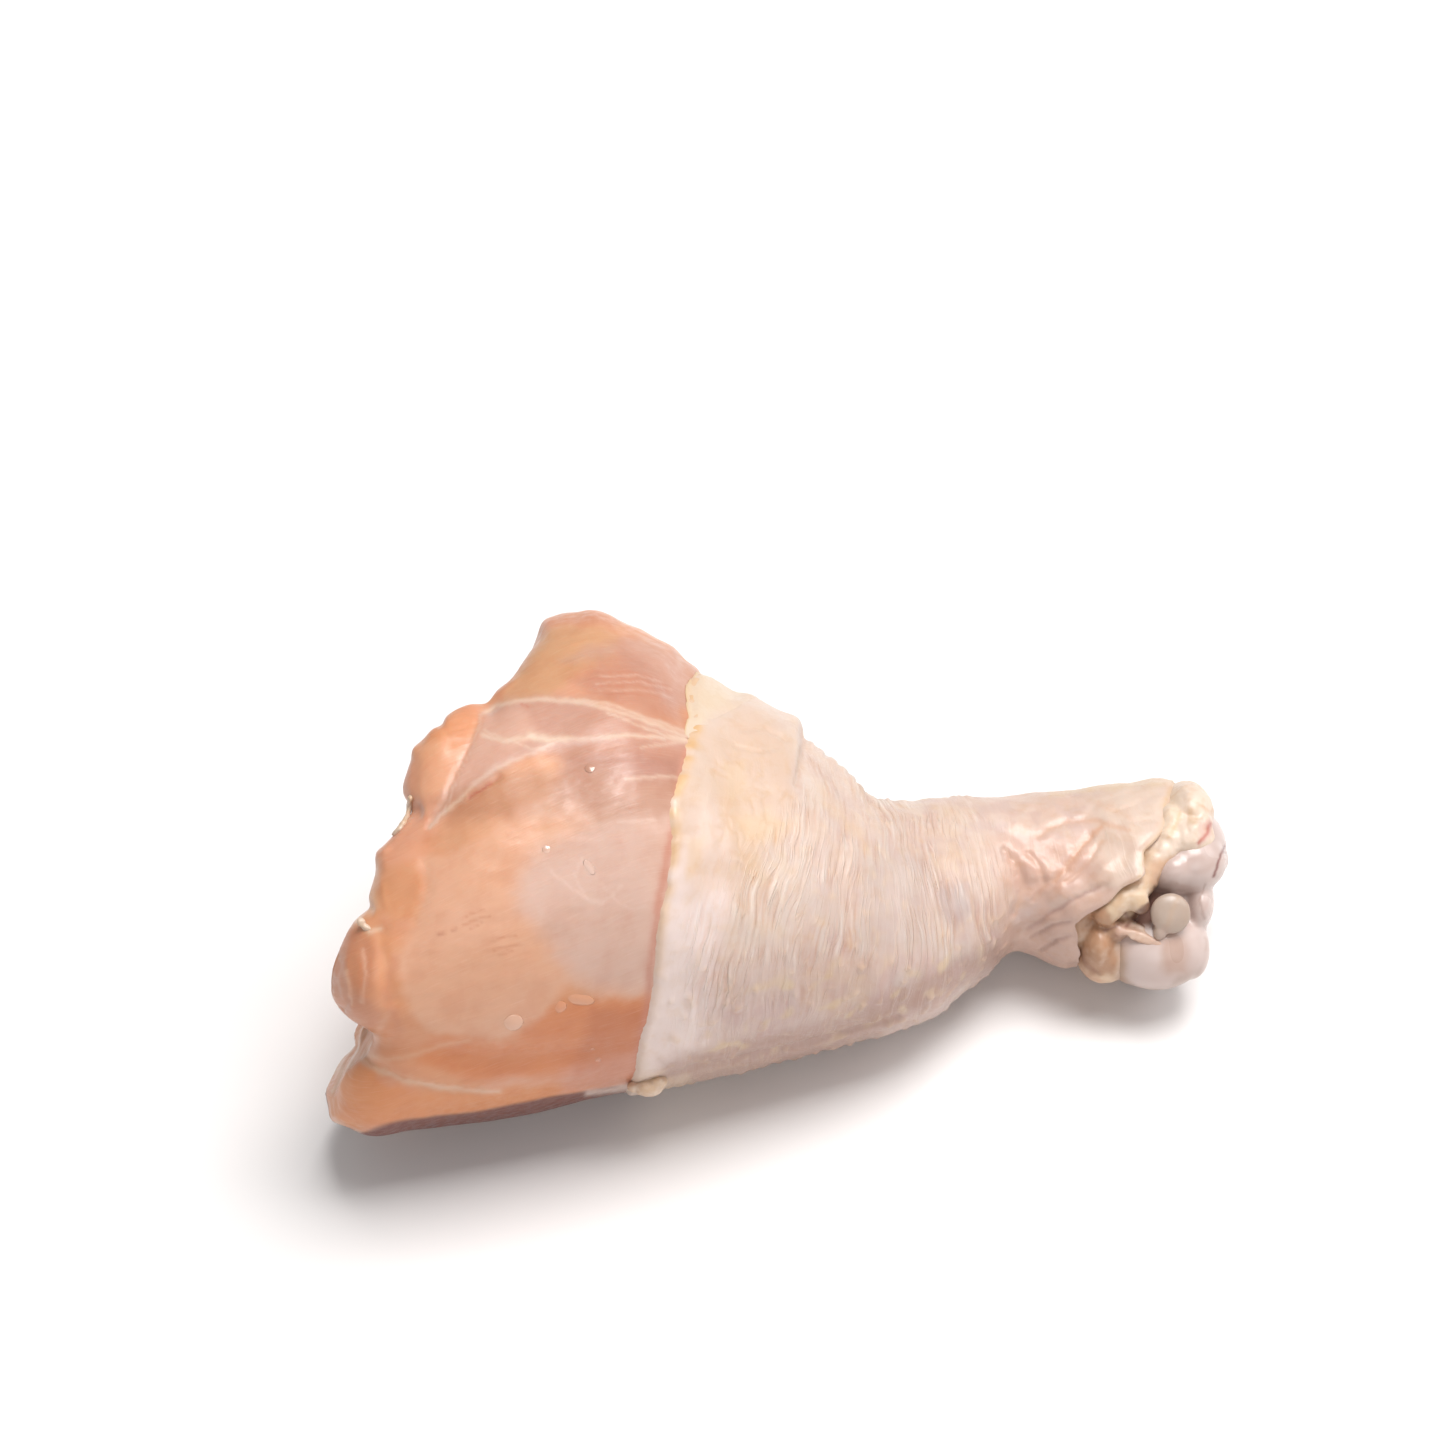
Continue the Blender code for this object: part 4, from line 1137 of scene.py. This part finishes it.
def vein_net(points):
    """Thin branching lines of fat under the skin."""
    bent = points * 0.34 + 0.5 * noise(points * 0.5, 3)[..., None]
    return veins(bent, 7, 107) * smooth_step(0.6 + 2.5 * noise(points * 0.2, 109))


def lip_rows(angle, edge, end, first):
    """The rows that turn the skin's two edges in, each from its edge inward."""
    at_edge = []
    at_end = []
    for i in range(1, LIP_ROWS + 1):
        step = i / LIP_ROWS
        x = edge + 1.2 * step
        at_edge.append(point(x, angle, skin_relief(x, angle) + skin_swell(first) - 0.5 - 1.5 * step, LIP_FLOOR))
        x = end + 0.4 * math.sin(math.pi * min(1.0, step * 1.6)) - 2.5 * max(0.0, step - 0.4)
        at_end.append(point(x, angle, SKIN_LIP - (0.45 + 1.5 * step), LIP_FLOOR))
    return at_edge, at_end


def make_skin():
    angle = angles_around(SKIN_COLUMNS, SKIN_FRONT)
    torn = bell(angle_between(angle, 5), 55)
    ragged = (0.35 + 0.4 * torn) * layered(sheet(angle * 0.16), 4, 3, 0.6)
    ragged = ragged + (0.12 + 0.25 * torn) * noise(sheet(angle * 0.55), 29)
    edge = skin_edge(angle) - 0.65 + ragged
    ankle = skin_end(angle)
    share = np.linspace(0, 1, SKIN_ROWS)[:, None]
    x = edge + (ankle - edge) * share
    angles = np.broadcast_to(angle, x.shape)
    base = point(x, angles, skin_relief(x, angles) + SKIN_LIP)
    across, arc = grain_of(x, angles, base)
    detail, ridges, follicles, lined = skin_detail(x, angles, base, across, arc)
    world = pulled(to_world(base))
    pixels = photo_pixels(world)
    normal = grid_normals(world)
    seen = smooth_step(toward(normal) / 0.15 + 1.0)
    detail = detail + pressed(pixels, seen, SKIN_PRESSED) - 0.12 * vein_net(base) * inside(pixels, VEINED, 40) * seen
    start = smooth_step(share * (ankle - edge) / 1.8)
    end = smooth_step((1 - share) * (ankle - edge) / 1.8)
    height = skin_swell(base) + detail * (0.3 + 0.7 * start * end)
    outer = base + normal * (height - (SKIN_LIP + 0.5) * (1 - start) ** 2 - 0.35 * (1 - end) ** 2)[..., None]
    outer[..., 2] = np.maximum(outer[..., 2], 0.0)
    at_edge, at_end = lip_rows(angle, edge, ankle, outer[0])
    points = np.concatenate([at_edge[::-1], outer, at_end])

    def padded(items, **how):
        return [np.pad(values, ((LIP_ROWS, LIP_ROWS), (0, 0)), **how) for values in items]

    x, angles, across, arc = padded((x, angles, across, arc), mode="edge")
    ridges, follicles, lined = padded((ridges, follicles, lined))
    world = pulled(to_world(points))
    pixels = photo_pixels(world)
    facing = smooth_step(toward(grid_normals(world)) / 0.3 + 0.9)
    upper = smooth_step((85 - angle_between(angles)) / 55) * smooth_step((angle_between(angles) + 140) / 60)
    start = smooth_step((x - skin_edge(angles)) / 24 - 0.15)
    yellow = upper * smooth_step(-0.15 + 2.2 * layered(points * 0.15, 3, 95)) * (1 - smooth_step((x - 92) / 10))
    dull = smooth_step(2.4 * layered(points * 0.17, 2, 97) - 0.25) * (0.4 + 0.6 * start)
    tint = glazed(
        plain_tint(SKIN_CREAM, x.shape),
        SKIN_LILAC, start * (0.85 - 0.55 * upper),
        SKIN_WHITE, 0.5 * smooth_step(0.4 + 1.5 * layered(points * 0.1, 3, 91)),
        SKIN_YELLOW, 0.4 * yellow,
        SKIN_PINK, 0.7 * smooth_step((x - 92) / 14),
        (218, 200, 196), 0.25 * dull,
        (232, 204, 196), 0.45 * start * smooth_step(0.2 + 2.4 * layered(points * 0.30, 3, 105)),
    )
    tint = painted(tint, pixels, facing, SKIN_PATCHES, SKIN_LINES)
    spotted = inside(pixels, SPOTTED, 30) * facing
    tint = glazed(
        tint,
        (244, 204, 158), 0.32 * vein_net(points) * inside(pixels, VEINED, 40) * facing,
        (224, 190, 184), 0.4 * spotted * smooth_step(2.5 * layered(points * 0.2, 2, 115)),
        (250, 226, 184), 0.65 * spotted * smooth_step(3.0 * noise(points * 0.36, 113) - 0.3),
    )
    # Painted shade in the wrinkles' valleys; further down, a painted highlight on their tops.
    valley_shade = smooth_step(0.25 - 4.0 * ridges)
    tint = mix(tint, tint * srgb(244, 220, 206), 0.5 * valley_shade * (np.abs(ridges) > 0))
    rim = bell(x - skin_edge(angles) - 0.3, 0.9) * bell(angle_between(angles, 10), 55)
    blush = smooth_step(0.2 - 2.2 * layered(points * 0.3, 3, 99)) * smooth_step((x - 98) / 5)
    tint = glazed(
        tint,
        # Painted highlight on the tops of the wrinkles.
        (252, 240, 228), 0.35 * smooth_step(6.0 * ridges - 0.1),
        (252, 224, 190), 0.35 * follicles,
        (250, 206, 150), rim * smooth_step(0.75 + 1.5 * noise(sheet(angles * 0.3, x * 0.2), 27)),
        (248, 204, 178), 0.22 * blush,
    )
    item = finished("skin_sleeve", grid_mesh("skin_sleeve", world), skin_material())
    set_colour(item, "tint", tint, SKIN_TONE)
    set_vector(item, "grain", sheet(across, arc))
    set_colour(item, "lined", lined[..., None], 1.0)
    thick = 0.25 * smooth_step((x - skin_edge(angles) - 1) / 4) * smooth_step((skin_end(angles) - x - 0.5) / 4)
    set_colour(item, "thick", thick[..., None], 1.0)
    dress(item, "skin")


# ---------------------------------------------------------------- the fat wedge by the skin's edge

WEDGE_ANGLES = (-66, 3)
WEDGE_WIDTH = 7.2
WEDGE_SIDES = 34
WEDGE_RINGS = 150


def make_fat_wedge():
    angle = np.linspace(*WEDGE_ANGLES, WEDGE_RINGS)
    v = np.linspace(0, 1, WEDGE_RINGS)
    half = np.sin(np.pi * np.clip(v * 1.02, 0, 1)) ** 0.5
    edge = skin_edge(angle)
    wide = WEDGE_WIDTH * smooth_step(v / 0.25) * (1 - smooth_step((v - 0.55) / 0.45)) + 0.6
    wide = wide + 0.5 * layered(sheet(angle * 0.12), 3, 5)
    inset = 1.0 + 0.5 * layered(sheet(angle * 0.16), 3, 9)
    sides = []
    for turn in 2 * np.pi * np.arange(WEDGE_SIDES) / WEDGE_SIDES:
        x = edge - inset + (wide + inset) * (0.5 - 0.5 * math.cos(turn))
        share = smooth_step((x - edge + 0.6) / 1.8)
        base = flesh_lift(x, angle, edge) * (1 - share) + (skin_relief(x, angle) + SKIN_LIP) * share
        base = base + skin_swell(point(x, angle, base))
        knots = 0.12 * layered(sheet(x * 0.5, angle * 0.10), 3, 12)
        top = math.sin(turn) * (0.45 + knots if turn < math.pi else 1.2)
        sides.append(point(x, angle, base + top * half - 0.06, LIP_FLOOR))
    points = pulled(to_world(np.stack(sides, axis=1)))
    fat = fat_material("wedge_fat", None, (252, 226, 192), 0.45, 300, 0.42)
    item = finished("fat_wedge", tube_mesh("fat_wedge", points), fat)
    across = np.tile(0.5 - 0.5 * np.cos(2 * np.pi * np.arange(WEDGE_SIDES) / WEDGE_SIDES), (WEDGE_RINGS, 1))
    tint = glazed(
        plain_tint((254, 233, 206), across.shape),
        (250, 214, 166), smooth_step(1 - across / 0.16),
        SKIN_CREAM, smooth_step((across - 0.6) / 0.4),
    )
    set_colour(item, "tint", tint, SKIN_TONE)
    dress(item, "skin_fat")


# ---------------------------------------------------------------- the ankle end

ANKLE_ANCHOR = np.array((0.052, -0.008, 0.012))
# Balls: pixel, mm nearer than the anchor, half width and half height in pixels, depth in mm, tilt in degrees.
CONDYLE_BALLS = (
    (1156, 949, 0.4, 49, 40, 7.8, 0), (1156, 949, 4.6, 51, 42, 5.0, 0), (1186, 944, 3.0, 23, 37, 4.8, 10),
    (1134, 955, 3.4, 27, 31, 4.2, 0), (1187, 849, 0.0, 40, 45, 8.4, 0), (1190, 862, 5.2, 37, 32, 4.6, 0),
    (1172, 869, 5.8, 27, 23, 4.6, 20), (1213, 857, -4.0, 15, 19, 5.5, 20), (1197, 904, 2.8, 17, 29, 5.2, -6),
    (1160, 902, 1.0, 34, 34, 6.4, 0),
)
TISSUE_BALLS = (
    (1180, 831, 0.3, 33, 42, 8.0, 0), (1186, 838, 5.2, 29, 26, 4.6, 0), (1188, 812, 2.0, 25, 30, 5.8, 0),
    (1186, 800, 0.2, 22, 20, 4.6, 0), (1175, 806, 1.2, 14, 18, 4.6, 0), (1173, 828, 4.8, 19, 25, 3.6, 8),
    (1201, 822, 4.2, 11, 14, 4.4, 0), (1192, 828, 6.4, 12, 11, 3.4, 0), (1169, 842, 6.1, 22, 23, 3.6, 15),
    (1161, 852, 6.9, 21, 18, 3.2, 20), (1154, 861, 7.3, 18, 16, 3.1, 20), (1149, 870, 7.5, 16, 15, 3.0, 20),
    (1144, 879, 7.7, 16, 15, 2.8, 20), (1138, 887, 8.0, 17, 14, 2.6, 20), (1105, 950, 3.4, 30, 34, 4.7, -10),
    (1096, 943, 4.4, 18, 30, 5.2, 0), (1116, 928, 6.0, 20, 12, 3.4, 0), (1123, 911, 4.4, 18, 17, 3.6, 0),
    (1104, 915, 9.2, 13, 11, 1.6, -30), (1110, 910, 9.5, 13, 11, 1.6, -30), (1117, 904, 9.8, 13, 11, 1.5, -30),
    (1124, 898, 9.6, 16, 13, 1.7, -30), (1131, 896, 9.5, 15, 15, 1.8, 0), (1137, 899, 10.1, 12, 13, 1.3, 0),
    (1141, 905, 9.9, 10, 11, 1.2, 0),
)
# Torn threads: line of pixels, mm nearer than the anchor, half width in pixels.
SHREDS = (
    ((1118, 930, 1132, 930, 1146, 935, 1158, 942), 8.2, 4.4),
    ((1120, 925, 1132, 923, 1146, 929, 1156, 937), 8.0, 3.6),
    ((1118, 934, 1132, 931, 1148, 937, 1160, 943), 9.2, 3.0),
    ((1130, 938, 1146, 943, 1162, 945), 9.2, 2.4),
)
KNOB_BALLS = (
    (1170.5, 913.5, 9.8, 20.5, 20.5, 1.1, 0), (1170.5, 913.5, 9.2, 17.5, 17.5, 1.5, 0),
    (1160.5, 930.5, 9.2, 7.5, 10.5, 1.1, -18), (1163, 925, 8.8, 9, 10, 1.6, -18),
)
PLUG_START = 106
PLUG_SIDES = 72
# How far the tissue stands out of the skin: angle and units.
PLUG_REACH = (-180, 3, -120, 3, -60, 2.5, -20, 3.5, 10, 4, 30, 2, 42, 0.5, 58, 0.5, 70, 3, 90, 4, 120, 4, 180, 3)

TISSUE_PATCHES = (
    ((1150, 780, 1215, 780, 1216, 840, 1200, 850, 1150, 862, 1130, 880, 1125, 850), 10, (246, 230, 214), 0.9),
    ((1168, 784, 1180, 790, 1176, 830, 1164, 840, 1160, 815), 8, (244, 224, 196), 0.5),
    ((1188, 808, 1199, 806, 1198, 822, 1188, 826), 5, (220, 188, 146), 0.5),
    ((1198, 822, 1212, 818, 1211, 838, 1199, 846), 5, (238, 200, 190), 0.6),
    ((1140, 846, 1160, 848, 1152, 866, 1148, 884, 1136, 880), 6, (244, 222, 192), 0.6),
    ((1076, 916, 1110, 902, 1124, 930, 1116, 975, 1090, 976, 1076, 960), 12, (192, 150, 118), 0.9),
    ((1104, 935, 1122, 940, 1114, 975, 1100, 975), 10, (204, 162, 132), 0.4),
    ((1117, 938, 1136, 938, 1136, 990, 1117, 990), 8, (216, 190, 174), 0.8),
    ((1104, 900, 1120, 882, 1150, 884, 1152, 902, 1140, 917, 1126, 914, 1112, 922), 6, (230, 206, 176), 0.9),
    # Painted shade: a dark patch in the cavity under the upper condyle.
    ((1130, 915, 1150, 900, 1152, 886, 1172, 892, 1160, 905, 1152, 930, 1132, 922), 4, (112, 70, 52), 0.9),
    ((1116, 922, 1160, 928, 1166, 948, 1140, 944, 1112, 938), 5, (214, 180, 164), 0.7),
)
TISSUE_LINES = (
    ((1210, 824, 1207, 834, 1199, 843), 2.0, (206, 120, 112), 0.8),
    # Painted shade: dark lines under the flap's edge and in the hole beside it.
    ((1124, 922, 1112, 928, 1104, 930), 1.6, (142, 96, 76), 0.7),
    ((1125, 912, 1130, 922, 1126, 927), 1.8, (150, 96, 84), 0.7),
    ((1192, 800, 1202, 806, 1208, 812), 1.6, (228, 190, 150), 0.6),
    ((1168, 838, 1176, 826, 1180, 812), 2.0, (238, 204, 160), 0.6),
    ((1147, 846, 1143, 860, 1140, 876), 2.0, (232, 196, 150), 0.6),
    ((1082, 955, 1086, 966, 1100, 974), 2.4, (160, 112, 90), 0.5),
)
CRUMBLY_FAT = (1140, 780, 1215, 780, 1216, 845, 1150, 865, 1130, 890, 1120, 850)
CONDYLE_PATCHES = (
    ((1160, 930, 1185, 935, 1186, 975, 1164, 975), 14, (220, 184, 164), 0.6),
    ((1100, 935, 1126, 945, 1130, 990, 1095, 985), 14, (214, 182, 154), 0.85),
    # Painted shade on the part of the condyle that lies in the cavity.
    ((1116, 904, 1150, 888, 1172, 892, 1162, 908, 1150, 924, 1134, 930, 1116, 924), 8, (140, 92, 74), 0.8),
    ((1120, 984, 1160, 990, 1200, 968, 1200, 1000, 1120, 1000), 10, (214, 190, 176), 0.6),
)
CONDYLE_LINES = (
    ((1225, 846, 1221, 856, 1217, 866, 1214, 876), 1.5, (150, 84, 76), 0.85),
    ((1223, 850, 1226, 852), 1.4, (150, 84, 76), 0.7),
    ((1205, 884, 1200, 900, 1204, 918), 1.4, (196, 168, 158), 0.6),
    ((1156, 889, 1168, 893, 1186, 895, 1200, 892), 1.6, (196, 164, 156), 0.4),
    ((1206, 938, 1207, 950), 1.6, (222, 200, 186), 0.6),
)
KNOB_LINES = (
    ((1178, 898, 1172, 912, 1166, 930), 3.2, (198, 168, 144), 0.6),
    ((1166, 930, 1160, 942), 5.0, (196, 168, 156), 0.6),
)


def make_condyles():
    shape = lens_balls(ANKLE_ANCHOR, CONDYLE_BALLS)
    relief = crumbs(0.00007, 120, 2, 3)
    item, points, normals = grown_together("ankle_condyles", shape, 0.00024, 44, cartilage_material(), relief)
    seen = smooth_step((normals @ BACK) / 0.2 + 0.6)
    tint = plain_tint((250, 234, 230), points.shape[:1])
    tint = glazed(tint, (240, 220, 214), smooth_step(0.5 + 2 * layered(points * 180, 3, 7)))
    tint = painted(tint, photo_pixels(points), seen, CONDYLE_PATCHES, CONDYLE_LINES)
    set_colour(item, "tint", tint, CONDYLE_TONE)
    dress(item, "ankle_cartilage")


def plug():
    """A new shape that fills the end of the skin."""
    angle = np.linspace(0, 360, PLUG_SIDES, endpoint=False)
    reach = curve_at(PLUG_REACH, angle_between(angle))
    end = skin_end(angle)
    rows = []
    for share in np.linspace(0, 1, 22):
        x = PLUG_START + (end + reach - PLUG_START) * share
        past = np.clip((x - end + 1) / (np.maximum(reach, 0.1) + 1), 0, 1)
        rows.append(point(x, angle, -0.9 - 2.6 * past**2, LIP_FLOOR))
    last = rows[-1]
    middle = last.mean(axis=0) + (-0.5, 0, 0)
    for share in (0.25, 0.5, 0.75, 0.92):
        ring = last + (middle - last) * share
        ring[:, 0] += 1.4 * math.sin(math.pi * min(share, 0.5))
        rows.append(ring)
    mesh = tube_mesh("plug", to_world(np.array(rows)))
    shape = bmesh.new()
    shape.from_mesh(mesh)
    bpy.data.meshes.remove(mesh)
    return shape


def add_strand(shape, line, near, width):
    """A thin thread through pixels, of balls that touch."""
    line = pairs(line)
    for start, end in zip(line[:-1], line[1:]):
        steps = max(2, int(np.linalg.norm(end - start) / (0.35 * width)))
        for i in range(steps + 1):
            place = start + (end - start) * i / steps
            lens_ball(shape, ANKLE_ANCHOR, *place, near, width, width, width * PIXEL / MILLIMETRE)


def tissue_relief(points):
    crumbly = 0.35 + 0.65 * inside(photo_pixels(points), CRUMBLY_FAT, 20)
    lumps = 0.00014 * layered(points * 420, 3, 31) + 0.00018 * (0.3 - np.abs(noise(points * 560, 37)) * 1.6)
    return lumps * crumbly + 0.00022 * layered(points * 230, 2, 39)


def make_tissue():
    shape = lens_balls(ANKLE_ANCHOR, TISSUE_BALLS, plug())
    for shred in SHREDS:
        add_strand(shape, *shred)
    item, points, normals = grown_together("ankle_tissue", shape, 0.00026, 14, tissue_material(), tissue_relief)
    seen = smooth_step((normals @ BACK) / 0.2 + 0.9)
    tint = plain_tint((242, 218, 190), points.shape[:1])
    tint = glazed(tint, (232, 196, 166), smooth_step(0.4 + 2 * layered(points * 200, 3, 41)))
    tint = painted(tint, photo_pixels(points), seen, TISSUE_PATCHES, TISSUE_LINES)
    tint = mix(tint, tint * srgb(228, 200, 176), 0.2 * veins(points * 330, 7, 47))
    tint = glazed(tint, (250, 236, 222), 0.3 * smooth_step(2.4 * layered(points * 420, 3, 31) - 0.2))
    set_colour(item, "tint", tint, TISSUE_TONE)
    dress(item, "ankle_sinew")


def make_knob():
    shape = lens_balls(ANKLE_ANCHOR, KNOB_BALLS)
    gristle = cartilage_material("knob_gristle", 0.3)
    item, points, _ = grown_together("tendon_knob_disc", shape, 0.00016, 6, gristle, crumbs(0.00006, 500, 3, 3))
    tint = plain_tint((194, 172, 156), points.shape[:1])
    set_colour(item, "tint", painted(tint, photo_pixels(points), np.ones(len(points)), (), KNOB_LINES))
    dress(item, "tendon_knob")


# ---------------------------------------------------------------- small fat pieces and the knee

NUB_ANCHOR = np.array((-0.0235, -0.0301, 0.0146))
NUB_BALLS = (
    (648, 1087, -0.4, 15, 9.5, 1.7, -4), (638, 1086, -0.5, 11, 6, 1.4, 5), (657, 1082, -0.4, 10, 9, 1.7, 10),
    (648, 1079, -0.9, 16, 8, 1.6, -8),
)
SCRAP_ANCHOR = np.array((-0.0548, -0.0231, 0.0459))
SCRAP_BALLS = (
    (361, 922, -0.1, 4.0, 4.5, 0.5, -35), (367, 928, -0.1, 6, 3.0, 0.5, -25), (376, 930, -0.2, 5, 2.0, 0.4, 15),
)
RIM_FAT_ANGLES = (-10, 40)
# A cord of fat that peeks out past the flesh's outline, in pixels.
RIM_CORD = (395, 834, 400, 829, 404, 823, 407, 817, 409, 810, 410, 803, 411, 797)
PLATEAU_CENTRES = ((17, -5.5, 30.5), (20.5, 5.5, 32.5))
PLATEAU_SIZE = (6.5, 9.0, 9.0)


def nearest(points, seen, least, pixel):
    """The index of the point that shows closest to a pixel, among those that are seen this well."""
    hidden = FAR * (seen.reshape(-1) < least)
    return np.argmin(np.linalg.norm(photo_pixels(points) - pixel, axis=1) + hidden)


def make_rim_fat(flesh, fat):
    shape = bmesh.new()
    chance = np.random.RandomState(4)
    for angle in np.linspace(*RIM_FAT_ANGLES, 16):
        rim = float(knee_rim(angle))
        for _ in range(2):
            x = rim + 4.0 + chance.uniform(-1, 1.5)
            place = point(x, angle + chance.uniform(-2, 2), -6.3 + chance.uniform(-1, 0.8))
            unit_ball(shape, place, [chance.uniform(1.3, 2.2)] * 3)
    points, _, seen, _ = flesh
    points = points.reshape(-1, 3)
    cord = pairs(RIM_CORD)
    for share in np.linspace(0, len(cord) - 1, 25):
        pixel = [np.interp(share, range(len(cord)), values) for values in cord.T]
        place = points[nearest(points, seen, 0.02, pixel)]
        lens_ball(shape, place, *pixel, 0.1, 3.2, 3.2, 0.6)
    item, _, _ = grown_together("rim_fat_crumbs", shape, 0.00026, 5, fat, crumbs(0.00022, 500))
    dress(item, "rim_fat")


def make_small_fat(flesh):
    fat = fat_material("raw_fat", (252, 228, 204), (246, 212, 176), 1.0, 420, 0.40)
    for name, anchor, balls, node in (
        ("fat_nub_soft", NUB_ANCHOR, NUB_BALLS, "fat_nub"),
        ("fat_scrap_soft", SCRAP_ANCHOR, SCRAP_BALLS, "fat_scrap"),
    ):
        item, _, _ = grown_together(name, lens_balls(anchor, balls), 0.00014, 4, fat, crumbs(0.00018, 900))
        dress(item, node)
    make_rim_fat(flesh, fat)


def make_plateau():
    shape = bmesh.new()
    for centre in PLATEAU_CENTRES:
        unit_ball(shape, np.array(centre), PLATEAU_SIZE)
    gristle = cartilage_material("knee_gristle", 0.24)
    item, points, _ = grown_together("knee_plateau", shape, 0.00035, 8, gristle, crumbs(0.0002, 240))
    x, y, z = ((points - LEG_ORIGIN) / UNIT).T
    tint = glazed(
        plain_tint((232, 218, 212), x.shape),
        (190, 120, 104), 0.7 * bell(np.abs(y + 0.4 * (z - 31)), 1.6),
        (206, 140, 120), smooth_step((x - 14) / 6),
    )
    set_colour(item, "tint", tint)
    dress(item, "knee_cartilage")


# Drops of juice: pixel, half width and half length in pixels, turn in degrees.
DROPS = (
    (512, 1023, 8.0, 8.5, 0), (560, 1006, 5.5, 5.5, 0), (579, 999, 5.0, 14.0, -28), (597, 1059, 2.6, 2.6, 0),
    (592, 1049, 1.8, 1.8, 0), (590, 769, 4.0, 4.2, 0), (547, 849, 3.4, 3.6, 0), (590, 868, 3.2, 7.0, -55),
)
DROP_RINGS = 10
DROP_SIDES = 32
DROP_REACH = 1.15  # of the foot of a drop, which sinks into the flesh


def make_drops(points, normals, seen, tint):
    points, normals, tint = (values.reshape(-1, 3) for values in (points, normals, tint))
    water = Shader("juice", roughness=0.25, coat_weight=0.7, coat_roughness=0.05)
    shades, vertices, faces = [], [], []
    for x, y, wide, long, turn in DROPS:
        index = nearest(points, seen, 0.5, (x, y))
        normal = normals[index]
        across = RIGHT * math.cos(math.radians(turn)) + UP * math.sin(math.radians(turn))
        first = across - normal * (across @ normal)
        first = first / np.linalg.norm(first)
        second = np.cross(normal, first)
        stretch = 1.0 / max(0.5, float(normal @ BACK)) ** 0.5
        height = 0.2 * min(wide, long) * PIXEL
        start = len(vertices)
        shades.append(mix(tint[index], srgb(250, 226, 210), 0.05))
        for ring in range(DROP_RINGS):
            reach = DROP_REACH * (1 - ring / (DROP_RINGS - 1))
            rise = max(0.0, 1 - (reach / DROP_REACH) ** 2) ** 1.4
            for side in range(DROP_SIDES):
                swing = 2 * math.pi * side / DROP_SIDES
                spot = first * long * reach * math.cos(swing) + second * wide * stretch * reach * math.sin(swing)
                vertices.append(points[index] + spot * PIXEL + normal * height * (rise - 0.08))
        for ring in range(start, start + (DROP_RINGS - 1) * DROP_SIDES, DROP_SIDES):
            for side in range(DROP_SIDES):
                a = ring + side
                b = ring + (side + 1) % DROP_SIDES
                faces.append((a, b, b + DROP_SIDES, a + DROP_SIDES))
        faces.append(tuple(range(start + DROP_SIDES - 1, start - 1, -1)))
    mesh = mesh_from("juice_drops", np.array(vertices), faces)
    item = finished("juice_drops", mesh, water.finish(water.attribute("tint")))
    set_colour(item, "tint", np.repeat(shades, DROP_RINGS * DROP_SIDES, axis=0))
    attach(item, "root")


# ---------------------------------------------------------------- floor and light

FLOOR_COLOUR = (0.80, 0.775, 0.765)
FLOOR_SIZE = 3.0  # from the middle to each side
WORLD_LIGHT = 0.35


def add_floor():
    corners = np.array([(-1, -1, 0), (1, -1, 0), (1, 1, 0), (-1, 1, 0)]) * FLOOR_SIZE
    mesh = mesh_from("floor", corners, [(0, 1, 2, 3)])
    shader = Shader("floor_paint", roughness=0.75)
    shade = shader.noise(shader.place(), 3.0, 2.0)
    mesh.materials.append(shader.finish(shader.blend(FLOOR_COLOUR, tuple(0.985 * c for c in FLOOR_COLOUR), shade)))
    added("floor", mesh)


def add_softbox(name, place, target, width, height, radiance):
    data = bpy.data.lights.new(name, "AREA")
    data.shape = "RECTANGLE"
    data.size = width
    data.size_y = height
    data.energy = radiance * math.pi * width * height
    lamp = added(name, data)
    lamp.location = place
    lamp.rotation_euler = (Vector(target) - Vector(place)).to_track_quat("-Z", "Y").to_euler()


def add_lights():
    add_softbox("key_softbox", (0.21, 0.03, 1.0), (0, 0, 0.02), 0.58, 0.58, 10.9)
    add_softbox("right_softbox", (0.8, 0.05, 0.6), (0.03, 0, 0.01), 0.5, 0.5, 2.9)
    add_softbox("front_softbox", (0.0, -0.8, 0.55), (0, 0, 0.03), 0.9, 0.6, 1.35)
    world = bpy.data.worlds.new("studio")
    world.use_nodes = True
    back = world.node_tree.nodes["Background"]
    back.inputs["Color"].default_value = (1, 1, 1, 1)
    back.inputs["Strength"].default_value = WORLD_LIGHT
    bpy.context.scene.world = world
    view = bpy.context.scene.view_settings
    view.view_transform = "Standard"
    view.look = "None"


# ---------------------------------------------------------------- everything

add_camera()
add_lights()
add_floor()
flesh = make_flesh()
make_skin()
make_fat_wedge()
make_condyles()
make_tissue()
make_knob()
make_small_fat(flesh)
make_plateau()
make_drops(*flesh)
